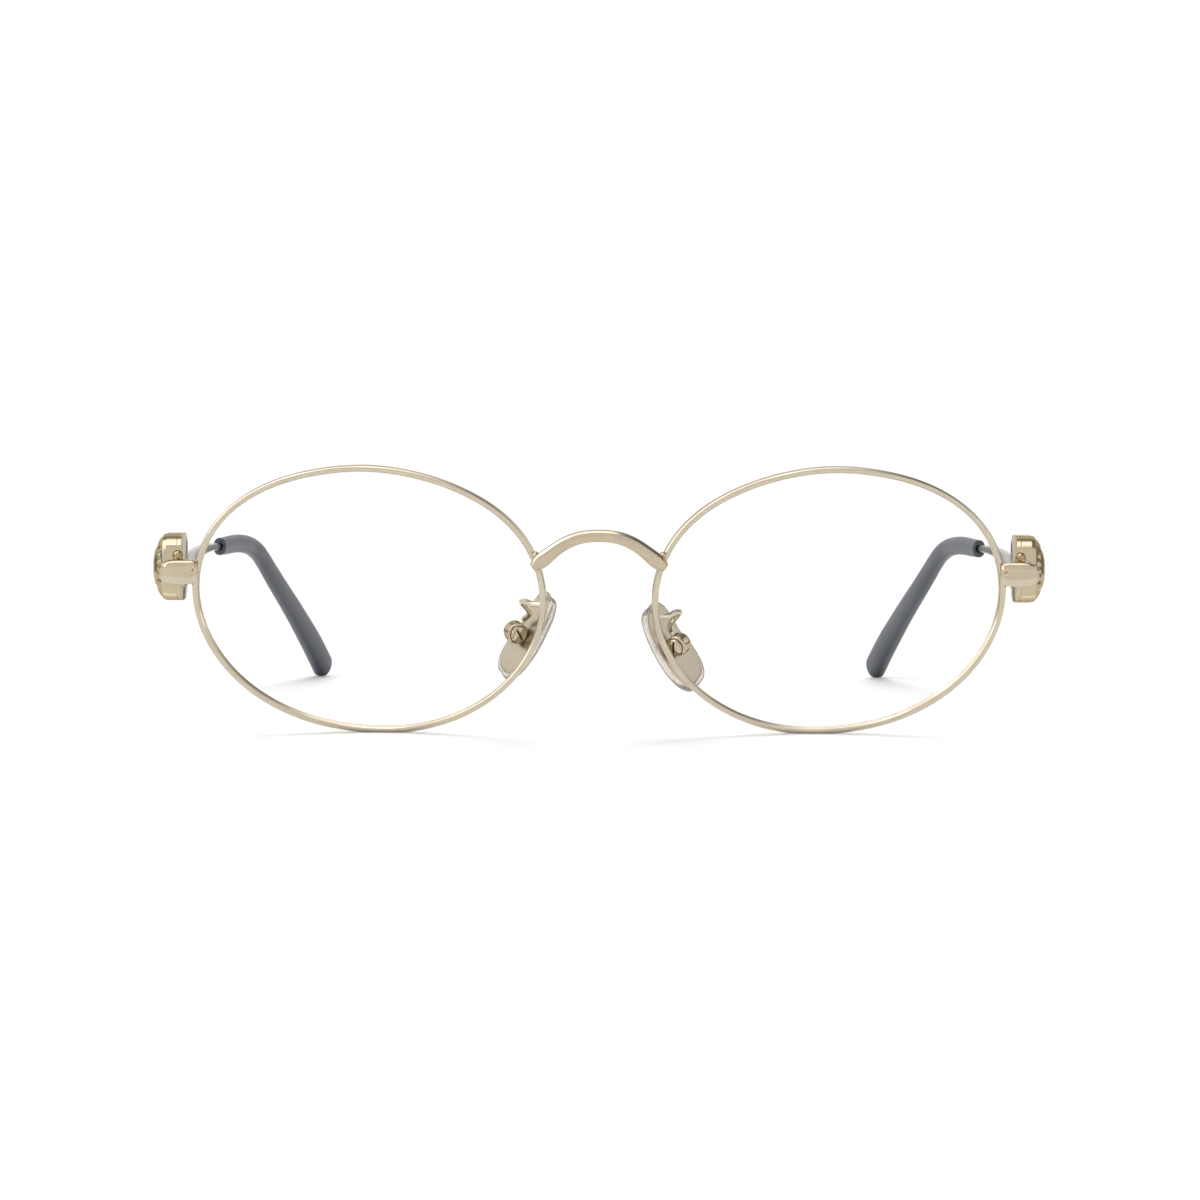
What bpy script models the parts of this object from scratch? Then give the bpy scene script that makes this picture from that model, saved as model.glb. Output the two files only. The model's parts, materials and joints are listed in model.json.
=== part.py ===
"""Metal eyeglass frame with folding temples and rocking nose pads.

Sizes in this file are millimetres; every mesh is scaled to metres as it is made.
+X is the wearer's left, +Y runs from the front of the frame back along the temples,
+Z is up.  The open frame stands on the lowest points of its rims and on its temple tips.
"""
import math

import bmesh
import bpy
import numpy as np
from mathutils import Matrix, Vector
from mathutils.geometry import tessellate_polygon

# ---------------------------------------------------------------- driving dimensions (mm)
GROUND = 0.0              # height of the standing surface
Y_CENTRE = 67.29          # design y of the middle of the open frame, front to back
M = 0.001                 # millimetres to metres

# lens shape: radius of the eyewire's middle line on 16 spokes, from the temporal side upward
LENS_X, LENS_Z = 36.0, 20.9
TRACE = [26.55, 26.1, 23.4, 20.9, 20.0, 20.5, 22.6, 25.7,
         27.3, 26.35, 23.95, 21.75, 20.5, 20.8, 22.4, 24.75]
BASE_RADIUS = 130.0       # front curve of the lens
TILT = math.radians(6.0)  # pantoscopic tilt, top forward
WRAP = math.radians(3.5)  # face form
FORM_X, FORM_Z = 34.6, 20.8
LUG_X, LUG_Z = 62.9, 24.8  # the front surface passes y = 0 here

EYEWIRE_STATIONS = 84     # sections round one eyewire
WIRE_R = 0.50             # half the eyewire's radial width
WIRE_D = 1.60             # eyewire depth, front to back
GROOVE = 0.36             # depth of the lens groove
SPLIT_Z = 24.75           # height of the eyewire's closing gap
SPLIT = 0.10              # closing gap

HINGE_X, HINGE_Y, HINGE_Z = 65.6, 3.8, 24.75
KNUCKLE_R = 1.15
HINGE_PIN_R = 0.60
HINGE_BORE_R = 0.66       # 0.05 running clearance
HINGE_FIX_R = 0.64
HINGE_H = 3.4
HINGE_HEAD_R = 0.80

TEMPLE_Y = 5.05           # where the temple begins
PAD_BORE_R = 0.56
PAD_PIN_R = 0.50
PAD_FIX_R = 0.54

# each nose pad is adjusted by hand: splay and lean in degrees, the middle of its screw, the
# middle of the pad's outline from the screw (back, up), and the bends of its arm (distance
# from the middle plane, y, z) after the solder joint
PADS = {
    "right": {"splay": 27.5, "lean": 31.0, "screw": (-12.95, 6.1, 15.2), "shift": (0.10, 1.70), "solder": 19.5,
              "bends": [(10.3, -0.2, 20.0), (11.5, 1.4, 20.3), (12.05, 3.1, 20.1),
                        (11.35, 4.4, 19.2), (10.8, 5.4, 18.3), (11.35, 6.3, 17.6)]},
    "left": {"splay": 38.0, "lean": 32.5, "screw": (12.4, 5.7, 13.4), "shift": (1.15, 1.35), "solder": 17.8,
             "bends": [(10.6, -0.4, 18.2), (11.9, 1.3, 18.7), (12.55, 3.0, 18.6),
                       (12.0, 4.4, 17.75), (11.3, 5.4, 16.8), (11.15, 6.1, 15.95)]},
}

SIDES = {"left": 1.0, "right": -1.0}

# ---------------------------------------------------------------- start clean
for old in list(bpy.data.objects):
    bpy.data.objects.remove(old)


# ---------------------------------------------------------------- materials
def material(name, colour, roughness, metallic, transmission=0.0):
    m = bpy.data.materials.new(name)
    m.use_nodes = True
    b = m.node_tree.nodes["Principled BSDF"]
    b.inputs["Base Color"].default_value = (*colour, 1.0)
    b.inputs["Roughness"].default_value = roughness
    b.inputs["Metallic"].default_value = metallic
    b.inputs["Transmission Weight"].default_value = transmission
    m.diffuse_color = (*colour, 1.0)
    return m


def gold(name, k=1.0):
    return material(name, (0.66 * k, 0.57 * k, 0.43 * k), 0.22, 1.0)


def ornament_gold(name):
    return material(name, (0.72, 0.58, 0.33), 0.18, 1.0)


def pale_gold(name):
    return material(name, (0.74, 0.69, 0.59), 0.25, 1.0)


def slate(name):
    return material(name, (0.09, 0.098, 0.108), 0.32, 0.0)


def silicone(name):
    return material(name, (0.86, 0.85, 0.82), 0.12, 0.0, 0.9)


# ---------------------------------------------------------------- mesh helpers
def place(p):
    """A design point in millimetres as a world point in metres."""
    return Vector((p[0] * M, (p[1] - Y_CENTRE) * M, (p[2] - GROUND) * M))


def finish(name, bm, mat, pivot=None, parent=None, smooth=40.0):
    """Makes the object, with its origin on the pivot when one is given."""
    for v in bm.verts:
        v.co = place(v.co)
    bmesh.ops.recalc_face_normals(bm, faces=bm.faces)
    if bm.calc_volume(signed=True) < 0:
        bmesh.ops.reverse_faces(bm, faces=bm.faces)
    me = bpy.data.meshes.new(name)
    bm.to_mesh(me)
    bm.free()
    ob = bpy.data.objects.new(name, me)
    bpy.context.scene.collection.objects.link(ob)
    me.materials.append(mat)
    me.shade_smooth()
    me.set_sharp_from_angle(angle=math.radians(smooth))
    if pivot is not None:
        at = place(pivot)
        me.transform(Matrix.Translation(-at))
        ob.location = at
    if parent is not None:
        keep = ob.location.copy()
        ob.parent = parent
        ob.location = keep - parent.location
    return ob


def loft(rings, closed=False, caps=True):
    """Skins rings that all have the same number of points."""
    bm = bmesh.new()
    vs = [[bm.verts.new(p) for p in ring] for ring in rings]
    n = len(rings[0])
    pairs = list(zip(vs, vs[1:])) + ([(vs[-1], vs[0])] if closed else [])
    for a, b in pairs:
        for i in range(n):
            j = (i + 1) % n
            bm.faces.new((a[i], a[j], b[j], b[i]))
    if caps and not closed:
        bm.faces.new(vs[0])
        bm.faces.new(list(reversed(vs[-1])))
    return bm


def cap_region(bm, loops):
    """Fills the flat region between an outer loop and its holes."""
    flat = [v for loop in loops for v in loop]
    for tri in tessellate_polygon([[v.co for v in loop] for loop in loops]):
        try:
            bm.faces.new([flat[i] for i in tri])
        except ValueError:
            pass


def stack(levels):
    """A solid from levels of (outer points, hole points), joined level to level."""
    bm = bmesh.new()
    outer = [[bm.verts.new(p) for p in lv[0]] for lv in levels]
    holes = [[bm.verts.new(p) for p in lv[1]] for lv in levels]
    for row in (outer, holes):
        for a, b in zip(row, row[1:]):
            for i in range(len(a)):
                j = (i + 1) % len(a)
                bm.faces.new((a[i], a[j], b[j], b[i]))
    for k in (0, -1):
        cap_region(bm, [outer[k], holes[k]] if holes[k] else [outer[k]])
    return bm


def leaf_solid(base, ear, hole, levels, has_ear, to_world):
    """A leaf with drilled ears, built of layers along its pin.

    base: convex outline of the leaf; its last and first points are where the ears join.
    ear:  the ear's outline from base's last point round to base's first.
    hole: the drilled circle.  has_ear says which layers carry the ear.
    """
    bm = bmesh.new()

    def row(points):
        return [[bm.verts.new(to_world(p[0], p[1], z)) for p in points] for z in levels]

    vb, ve, vh = row(base), row(ear), row(hole)
    nb = len(base)
    top = len(levels) - 1
    for k in range(top):
        ring = (vb[k], vb[k + 1])
        for i in range(nb - 1):
            bm.faces.new((ring[0][i], ring[0][i + 1], ring[1][i + 1], ring[1][i]))
        if has_ear[k]:
            lo = [vb[k][-1]] + ve[k] + [vb[k][0]]
            hi = [vb[k + 1][-1]] + ve[k + 1] + [vb[k + 1][0]]
            for i in range(len(lo) - 1):
                bm.faces.new((lo[i], lo[i + 1], hi[i + 1], hi[i]))
            for i in range(len(hole)):
                j = (i + 1) % len(hole)
                bm.faces.new((vh[k][i], vh[k][j], vh[k + 1][j], vh[k + 1][i]))
        else:
            bm.faces.new((vb[k][-1], vb[k][0], vb[k + 1][0], vb[k + 1][-1]))
    for k in range(top + 1):
        below = k > 0 and has_ear[k - 1]
        above = k < top and has_ear[k]
        if below != above:
            cap_region(bm, [[vb[k][-1]] + ve[k] + [vb[k][0]], vh[k]])
    for k in (0, top):
        cap_region(bm, [vb[k]])
    loose = [v for v in bm.verts if not v.link_faces]
    bmesh.ops.delete(bm, geom=loose, context="VERTS")
    return bm


def turned(profile, n, to_world):
    """A turned solid from (radius, height) pairs that start and end on the axis."""
    bm = bmesh.new()
    rings = []
    for r, h in profile:
        if r < 1e-9:
            rings.append([bm.verts.new(to_world(0, 0, h))])
        else:
            rings.append([bm.verts.new(to_world(r * math.cos(2 * math.pi * (i + 0.5) / n),
                                                r * math.sin(2 * math.pi * (i + 0.5) / n), h))
                          for i in range(n)])
    for a, b in zip(rings, rings[1:]):
        for i in range(n):
            j = (i + 1) % n
            if len(a) == 1:
                bm.faces.new((a[0], b[j], b[i]))
            elif len(b) == 1:
                bm.faces.new((a[i], a[j], b[0]))
            else:
                bm.faces.new((a[i], a[j], b[j], b[i]))
    return bm


def circle(r, n, cx=0.0, cy=0.0):
    """A polygon whose flats, not its corners, touch the circle from outside."""
    k = r / math.cos(math.pi / n)
    return [(cx + k * math.cos(2 * math.pi * (i + 0.5) / n),
             cy + k * math.sin(2 * math.pi * (i + 0.5) / n)) for i in range(n)]


def smooth_path(points, n, closed=False):
    """Centripetal-like Catmull-Rom curve through the points, as n even steps."""
    pts = [np.array(p, float) for p in points]
    ext = [2 * pts[0] - pts[1]] + pts + [2 * pts[-1] - pts[-2]]
    fine = []
    for k in range(1, len(ext) - 2):
        p0, p1, p2, p3 = ext[k - 1:k + 3]
        t = [0.0]
        for a, b in ((p0, p1), (p1, p2), (p2, p3)):
            t.append(t[-1] + max(np.linalg.norm(b - a), 1e-9) ** 0.5)
        for s in np.linspace(t[1], t[2], 40, endpoint=False):
            a1 = (t[1] - s) / (t[1] - t[0]) * p0 + (s - t[0]) / (t[1] - t[0]) * p1
            a2 = (t[2] - s) / (t[2] - t[1]) * p1 + (s - t[1]) / (t[2] - t[1]) * p2
            a3 = (t[3] - s) / (t[3] - t[2]) * p2 + (s - t[2]) / (t[3] - t[2]) * p3
            b1 = (t[2] - s) / (t[2] - t[0]) * a1 + (s - t[0]) / (t[2] - t[0]) * a2
            b2 = (t[3] - s) / (t[3] - t[1]) * a2 + (s - t[1]) / (t[3] - t[1]) * a3
            fine.append((t[2] - s) / (t[2] - t[1]) * b1 + (s - t[1]) / (t[2] - t[1]) * b2)
    fine.append(pts[-1])
    fine = np.array(fine)
    d = np.r_[0, np.cumsum(np.linalg.norm(np.diff(fine, axis=0), axis=1))]
    want = np.linspace(0, d[-1], n)
    return np.array([[np.interp(w, d, fine[:, k]) for k in range(3)] for w in want]), d[-1]


def tangents(path):
    t = np.gradient(path, axis=0)
    return t / np.linalg.norm(t, axis=1)[:, None]


# ---------------------------------------------------------------- lens shape and front surface
def spoke_radius(spokes, phi):
    """Radius of a closed outline: a periodic cubic through evenly spaced spokes."""
    n = len(spokes)
    v = np.array(spokes)
    h = 2 * math.pi / n
    a = np.zeros((n, n))
    b = np.zeros(n)
    for i in range(n):
        a[i, (i - 1) % n], a[i, i], a[i, (i + 1) % n] = 1, 4, 1
        b[i] = 3 * (v[(i + 1) % n] - v[(i - 1) % n]) / h
    m = np.linalg.solve(a, b)
    phi = np.mod(phi, 2 * math.pi)
    i = np.floor(phi / h).astype(int) % n
    t = phi / h - np.floor(phi / h)
    j = (i + 1) % n
    return ((2 * t**3 - 3 * t**2 + 1) * v[i] + (t**3 - 2 * t**2 + t) * m[i] * h
            + (-2 * t**3 + 3 * t**2) * v[j] + (t**3 - t**2) * m[j] * h)


def raw_front(x, z):
    u, v = abs(x) - FORM_X, z - FORM_Z
    return (u * u + v * v) / (2 * BASE_RADIUS) + u * math.tan(WRAP) - v * math.tan(TILT)


def front_y(x, z):
    """Depth of the front surface that both eyewires follow."""
    return raw_front(x, z) - raw_front(LUG_X, LUG_Z)


LENS_AXIS = np.array([-math.tan(WRAP), 1.0, math.tan(TILT)])
LENS_AXIS /= np.linalg.norm(LENS_AXIS)   # the eyewire's depth runs along the lens axis (+X side)


def eyewire_stations(count):
    """Middle points, outward directions and depth directions round one eyewire (+X side),
    from the upper end of the closing gap round over the top to its lower end."""
    phi = np.linspace(0, 2 * math.pi, 1441)
    r = spoke_radius(TRACE, phi)
    x, z = LENS_X + r * np.cos(phi), LENS_Z + r * np.sin(phi)
    d = np.r_[0, np.cumsum(np.hypot(np.diff(x), np.diff(z)))]
    up = np.interp(SPLIT_Z + SPLIT / 2, z[:200], d[:200])
    low = np.interp(SPLIT_Z - SPLIT / 2, z[:200], d[:200]) + d[-1]
    s = np.linspace(up, low, count)
    xs = np.interp(np.mod(s, d[-1]), d, x)
    zs = np.interp(np.mod(s, d[-1]), d, z)
    e = 0.05
    dx = np.interp(np.mod(s + e, d[-1]), d, x) - np.interp(np.mod(s - e, d[-1]), d, x)
    dz = np.interp(np.mod(s + e, d[-1]), d, z) - np.interp(np.mod(s - e, d[-1]), d, z)
    out = []
    for px, pz, tx, tz in zip(xs, zs, dx, dz):
        t = np.array([tx, 0.0, tz])
        a = LENS_AXIS
        t -= a * (a @ t)
        t /= np.linalg.norm(t)
        o = np.cross(a, t)
        o /= np.linalg.norm(o)
        if o[0] * (px - LENS_X) + o[2] * (pz - LENS_Z) < 0:
            o = -o
        out.append((np.array([px, front_y(px, pz), pz]), o, a))
    return out


WIRE_PROFILE = [  # (outward, depth) round the section, with the lens groove on the inside
    (WIRE_R, 0.26), (WIRE_R, WIRE_D - 0.26), (WIRE_R - 0.24, WIRE_D),
    (-WIRE_R, WIRE_D), (-WIRE_R, WIRE_D / 2 + 0.36), (-WIRE_R + GROOVE, WIRE_D / 2),
    (-WIRE_R, WIRE_D / 2 - 0.36), (-WIRE_R, 0.12), (-WIRE_R + 0.16, 0.0), (WIRE_R - 0.24, 0.0),
]


def eyewire(side):
    s = SIDES[side]
    rings = []
    for c, o, a in eyewire_stations(EYEWIRE_STATIONS):
        ring = [c + o * u + a * v for u, v in WIRE_PROFILE]
        rings.append([Vector((s * p[0], p[1], max(p[2], GROUND))) for p in ring])
    return finish(f"eyewire_{side}", loft(rings), gold(f"eyewire_{side}"))


# ---------------------------------------------------------------- bridge
# middle line of the front face from the centre outward (x, z) and the bar's height there
BRIDGE_LINE = [(0.0, 30.75), (2.2, 30.60), (4.2, 30.05), (6.1, 29.05), (7.7, 27.80), (9.0, 26.75), (9.85, 26.15), (10.35, 25.85)]
BRIDGE_WIDTH = [1.88, 1.90, 1.96, 2.02, 2.20, 2.50, 2.20, 1.10]
BRIDGE_DEPTH = 1.35


def bridge_back(x, z):
    d = abs(x) - 8.0
    a = 8.0 + 0.5 * (d + math.sqrt(d * d + 2.25))
    return front_y(a, z) - 0.05 - 0.5 / (1 + (abs(x) / 5.5) ** 4)


def bridge(count=17):
    pts, length = smooth_path([(p[0], w, p[1]) for p, w in zip(BRIDGE_LINE, BRIDGE_WIDTH)], 200)
    dd = np.r_[0, np.cumsum(np.hypot(np.diff(pts[:, 0]), np.diff(pts[:, 2])))]
    want = np.linspace(0, dd[-1], count)
    half = [(np.interp(w, dd, pts[:, 0]), np.interp(w, dd, pts[:, 2]), np.interp(w, dd, pts[:, 1])) for w in want]
    full = [(-x, z, w) for x, z, w in reversed(half[1:])] + half
    p2 = np.array([(x, z) for x, z, w in full])
    t = np.gradient(p2, axis=0)
    t /= np.linalg.norm(t, axis=1)[:, None]
    rings = []
    for (x, z, w), (tx, tz) in zip(full, t):
        nx, nz = -tz, tx
        ring = []
        k = 0.24
        for u, back in ((w / 2 - k, 0.0), (w / 2, 0.30), (w / 2, 1.0), (-w / 2, 1.0), (-w / 2, 0.26), (-w / 2 + k, 0.0)):
            px, pz = x + nx * u, z + nz * u
            yb = bridge_back(px, pz)
            y = yb if back == 1.0 else yb - BRIDGE_DEPTH + back * BRIDGE_DEPTH
            ring.append(Vector((px, y, pz)))
        rings.append(ring)
    return finish("bridge", loft(rings), gold("bridge"))


# ---------------------------------------------------------------- end piece and rim lock
LUG_BACK = -0.24          # back of the lug's front plate
LUG_T = 1.10
LUG_END_Y = 4.98
LUG_OUT = 68.35           # outer side of the lug's return leg
LUG_H = 3.70


def end_piece(side):
    s = SIDES[side]
    mid = LUG_T / 2
    yf = LUG_BACK - mid
    xo = LUG_OUT - mid
    r = 1.25
    path = [(62.15, yf), (62.5, yf), (63.6, yf), (65.2, yf), (xo - r, yf)]
    for k in range(1, 7):
        a = math.pi / 2 * k / 6
        path.append((xo - r + r * math.sin(a), yf + r - r * math.cos(a)))
    path += [(xo, 2.6), (xo, LUG_END_Y)]
    p = np.array(path)
    t = np.gradient(p, axis=0)
    t[5:11] = np.gradient(p[4:12], axis=0)[1:-1]
    t /= np.linalg.norm(t, axis=1)[:, None]
    rings = []
    n = len(path)
    for k, ((x, y), (tx, ty)) in enumerate(zip(path, t)):
        if k == n - 1:
            tx, ty = 0.0, 1.0
        if k < 4:
            tx, ty = 1.0, 0.0
        ox, oy = ty, -tx                      # outward: towards the front, then the side
        h = LUG_H / 2 * (0.80 if k == 0 else 0.96 if k == 1 else 1.0 if k < 9 else 0.97)
        e = mid if k > 0 else mid * 0.62
        prof = [(-e, h), (e * 0.35, h), (e * 0.82, h - 0.42), (e, 0.55),
                (e, -0.55), (e * 0.82, -h + 0.42), (e * 0.35, -h), (-e, -h)]
        rings.append([Vector((s * (x + ox * o), y + oy * o, SPLIT_Z + v)) for o, v in prof])
    return finish(f"end_piece_{side}", loft(rings), gold(f"end_piece_{side}"))


LOCK_X = 66.15            # outer side of the rim lock
LOCK_FRONT, LOCK_BACK = -0.19, 2.05
LOCK_TOP, LOCK_BOTTOM = 26.45, 23.05
LOCK_SCREW = (64.75, 0.95)
LOCK_PIN_R, LOCK_BORE_R = 0.55, 0.60


def wire_outer_x(z, y):
    """Outermost x of the eyewire's outside face at one height and depth (+X side)."""
    near = [st for st in eyewire_stations(EYEWIRE_STATIONS) if st[0][0] > LENS_X + 18 and abs(st[0][2] - z) < 6]
    near.sort(key=lambda st: st[0][2])
    xs, zs = [], []
    for c, o, a in near:
        k = (y - c[1] - o[1] * WIRE_R) / a[1]
        p = c + o * WIRE_R + a * min(max(k, 0.0), WIRE_D)
        xs.append(p[0])
        zs.append(p[2])
    return float(np.interp(z, zs, xs))


def rim_lock(side, which):
    s = SIDES[side]
    if which == "upper":
        zs = np.linspace(SPLIT_Z + SPLIT / 2, LOCK_TOP, 4)
    else:
        zs = np.linspace(LOCK_BOTTOM, SPLIT_Z - SPLIT / 2, 4)
    levels = []
    for z in zs:
        xf = wire_outer_x(z, LOCK_FRONT) + 0.05
        xb = wire_outer_x(z, LOCK_BACK) + 0.05
        out = [(xf, LOCK_FRONT), (LOCK_X - 0.3, LOCK_FRONT), (LOCK_X, LOCK_FRONT + 0.3), (LOCK_X, LOCK_BACK - 0.45),
               (LOCK_X - 0.45, LOCK_BACK), (xb, LOCK_BACK)]
        hole = circle(LOCK_BORE_R, 10, *LOCK_SCREW)
        levels.append(([Vector((s * x, y, z)) for x, y in out], [Vector((s * x, y, z)) for x, y in hole]))
    return finish(f"rim_lock_{which}_{side}", stack(levels), gold(f"rim_lock_{which}_{side}"))


def rim_lock_screw(side):
    s = SIDES[side]

    def w(a, b, h):
        return Vector((s * (LOCK_SCREW[0] + a), LOCK_SCREW[1] + b, h))

    prof = [(0, 22.52), (0.70, 22.52), (0.85, 22.66), (0.85, 23.01), (LOCK_PIN_R, 23.01), (LOCK_PIN_R, 26.32), (0.42, 26.42), (0, 26.42)]
    return finish(f"rim_lock_screw_{side}", turned(prof, 12, w), gold(f"rim_lock_screw_{side}"))


# ---------------------------------------------------------------- temple hinge
Z0, Z3 = HINGE_Z - HINGE_H / 2, HINGE_Z + HINGE_H / 2
Z1, Z2 = HINGE_Z - 0.62, HINGE_Z + 0.62
HINGE_GAP = 0.04


def arc(r, a0, a1, n, cx=0.0, cy=0.0):
    return [(cx + r * math.cos(math.radians(a0 + (a1 - a0) * i / (n - 1))),
             cy + r * math.sin(math.radians(a0 + (a1 - a0) * i / (n - 1)))) for i in range(n)]


def hinge_front(side):
    """Leaf on the lug's return leg, with an upper and a lower knuckle."""
    s = SIDES[side]
    inner = LUG_OUT - LUG_T - 0.05 - HINGE_X     # the leg's inner face, seen from the hinge axis
    base = [(1.22, -1.10), (inner, -1.10), (inner, 1.10), (1.22, 1.10)]
    ear = [(0.9, 1.10)] + arc(KNUCKLE_R, 82, 278, 13) + [(0.9, -1.10)]
    hole = circle(HINGE_FIX_R, 12)

    def w(a, b, z):
        return Vector((s * (HINGE_X + a), HINGE_Y + b, z))

    bm = leaf_solid(base, ear, hole, [Z0, Z1, Z2, Z3], [True, False, True], w)
    return finish(f"hinge_front_{side}", bm, gold(f"hinge_front_{side}"))


def hinge_temple(side, pivot, parent):
    """Leaf on the inside of the temple's lobe, with the middle knuckle."""
    s = SIDES[side]
    xi = ARM_IN - 0.05 - HINGE_X                  # lobe's inner face from the hinge axis
    xo = xi - 0.50
    y0, y1 = 1.42, 5.9
    base = [(xi, y0), (xi, y1), (xo, y1), (xo, y0)]
    base = [base[3], base[2], base[1], base[0]]   # from the ear's root round to its root
    ear = [(xi, 1.17)] + arc(KNUCKLE_R, 84, -160, 16) + [(xo + 0.05, 0.55)]
    hole = circle(HINGE_BORE_R, 12)

    def w(a, b, z):
        return Vector((s * (HINGE_X + a), HINGE_Y + b, z))

    bm = leaf_solid(base, ear, hole,
                    [Z0 + 0.1, Z1 + HINGE_GAP, Z2 - HINGE_GAP, Z3 - 0.1], [False, True, False], w)
    return finish(f"hinge_temple_{side}", bm, pale_gold(f"hinge_temple_{side}"), pivot, parent)


def hinge_screw(side):
    s = SIDES[side]

    def w(a, b, h):
        return Vector((s * (HINGE_X + a), HINGE_Y + b, h))

    top = Z3 + 0.04
    r = HINGE_HEAD_R
    prof = [(0, Z0 - 0.16), (0.40, Z0 - 0.16), (HINGE_PIN_R, Z0), (HINGE_PIN_R, top), (r * 0.93, top), (r, top + 0.2),
            (r, top + 0.75)]
    for k in range(1, 5):
        a = math.pi / 2 * k / 5
        prof.append((r * math.cos(a), top + 0.75 + r * math.sin(a)))
    prof.append((0, top + 0.75 + r))
    return finish(f"hinge_screw_{side}", turned(prof, 14, w), ornament_gold(f"hinge_screw_{side}"))


# ---------------------------------------------------------------- temple arm, ornament and tip
ARM_IN = 65.20            # inner face of the lobe
LOBE_T = 0.75
LOBE_Y, LOBE_Z = 11.30, 25.20
LOBE_RY, LOBE_RZ = 6.22, 5.30
MOUTH_Y = 78.5
# middle line of the arm and its tip: (x, y, z)
TEMPLE_LINE = [(65.5, 20.0, 26.0), (65.5, 40.0, 26.35), (65.45, 60.0, 26.3), (65.25, 72.0, 26.05),
               (65.0, 78.5, 25.85), (64.4, 82.5, 25.85), (63.6, 87.0, 25.95), (62.6, 92.0, 25.9),
               (61.3, 98.0, 25.3), (60.2, 102.0, 24.1), (59.35, 105.5, 22.4), (58.6, 108.7, 20.6),
               (57.0, 115.0, 16.95), (55.5, 121.0, 13.6), (53.9, 127.3, 10.0), (52.4, 133.0, 6.5),
               (51.2, 138.4, 1.98)]
# half height of the arm's bar along the temple (y, half height)
BAR = [(17.5, 1.15), (20.5, 1.10), (27.0, 1.05), (35.0, 0.98), (44.0, 0.90), (53.0, 0.82), (62.0, 0.73),
       (70.0, 0.65), (75.5, 0.60)]


def superellipse(n, ry, rz, p):
    out = []
    for i in range(n):
        a = 2 * math.pi * i / n
        c, q = math.cos(a), math.sin(a)
        k = (abs(c) ** p + abs(q) ** p) ** (-1 / p)
        out.append((ry * k * c, rz * k * q))
    return out


def lobe_half(y):
    q = 1 - abs((y - LOBE_Y) / LOBE_RY) ** 3.6
    return LOBE_RZ * max(q, 0.0) ** (1 / 3.6)


def arm_section(x, y, z, half_t, half_h, n=8):
    c = min(half_t, half_h) * 0.45
    return [Vector(p) for p in ((x + half_t, y, z - half_h + c), (x + half_t, y, z + half_h - c),
                                (x + half_t - c, y, z + half_h), (x - half_t + c, y, z + half_h),
                                (x - half_t, y, z + half_h - c), (x - half_t, y, z - half_h + c),
                                (x - half_t + c, y, z - half_h), (x + half_t - c, y, z - half_h))]


TEMPLE_PTS, TEMPLE_LEN = smooth_path(TEMPLE_LINE, 400)
TEMPLE_S = np.linspace(0, TEMPLE_LEN, 400)
TEMPLE_TAN = tangents(TEMPLE_PTS)
MOUTH_S = float(np.interp(MOUTH_Y, TEMPLE_PTS[:, 1], TEMPLE_S))


def temple_frame(s):
    """Point, tangent, sideways and upright directions at arc length s."""
    p = np.array([np.interp(s, TEMPLE_S, TEMPLE_PTS[:, k]) for k in range(3)])
    t = np.array([np.interp(s, TEMPLE_S, TEMPLE_TAN[:, k]) for k in range(3)])
    t /= np.linalg.norm(t)
    side = np.cross(t, (0, 0, 1.0))
    side /= np.linalg.norm(side)
    return p, t, side, np.cross(side, t)


CORE_R = 0.52


def temple_arm(side, pivot, parent):
    s = SIDES[side]
    rings = []
    for y in (5.10, 5.6, 6.6, 8.2, 11.3, 14.2, 15.9, 16.8, 17.25, 17.5):
        top = LOBE_Z + lobe_half(y)
        low = LOBE_Z - lobe_half(y)
        if y > 15:
            top = max(top, TEMPLE_LINE[0][2] + BAR[0][1])
            low = min(low, TEMPLE_LINE[0][2] - BAR[0][1])
        half_t = LOBE_T / 2
        rings.append(arm_section(ARM_IN + half_t, y, (top + low) / 2, half_t, (top - low) / 2))
    for y, h in BAR[1:]:
        p = temple_frame(float(np.interp(y, TEMPLE_PTS[:, 1], TEMPLE_S)))[0]
        rings.append(arm_section(p[0], y, p[2], 0.50 if y < 25 else 0.56, h))
    for q in np.linspace(MOUTH_S - 0.6, TEMPLE_LEN - 9.0, 24):
        p, t, sd, up = temple_frame(q)
        r = CORE_R
        ring = []
        for i in range(8):
            a = 2 * math.pi * (i + 0.5) / 8
            ring.append(p + sd * (r * 1.08 * math.cos(a)) + up * (r * 1.08 * math.sin(a)))
        rings.append([Vector(v) for v in ring])
    rings = rings[:18] + [match(rings[17], r) for r in rings[18:]]
    out = [[Vector((s * v[0], v[1], v[2])) for v in r] for r in rings]
    return finish(f"temple_arm_{side}", loft(out), pale_gold(f"temple_arm_{side}"), pivot, parent)


def match(ref, ring):
    """Re-orders a ring so that its corners line up with a reference section."""
    cr = sum((np.array(v) for v in ref), np.zeros(3)) / len(ref)
    cn = sum((np.array(v) for v in ring), np.zeros(3)) / len(ring)
    n = len(ring)
    best = None
    for flip in (False, True):
        r = list(reversed(ring)) if flip else list(ring)
        for k in range(n):
            q = r[k:] + r[:k]
            e = 0.0
            for a, b in zip(ref, q):
                da, db = np.array(a) - cr, np.array(b) - cn
                e += -da[0] * db[0] / (np.hypot(da[0], da[2]) * np.linalg.norm(db)) - da[2] * db[2] / (np.hypot(da[0], da[2]) * np.linalg.norm(db))
            if best is None or e < best[0]:
                best = (e, q)
    return best[1]


ORNAMENT = [  # (x, scale of the outline): rim flange, wall, bevel and stepped dome
    (65.99, 0.955), (65.99, 1.0), (66.38, 1.0), (66.50, 0.955), (67.90, 0.955), (68.05, 0.985), (68.25, 0.975),
    (68.80, 0.84), (69.12, 0.735), (69.14, 0.66), (69.62, 0.52), (69.93, 0.30), (70.05, 0.12),
]


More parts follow.
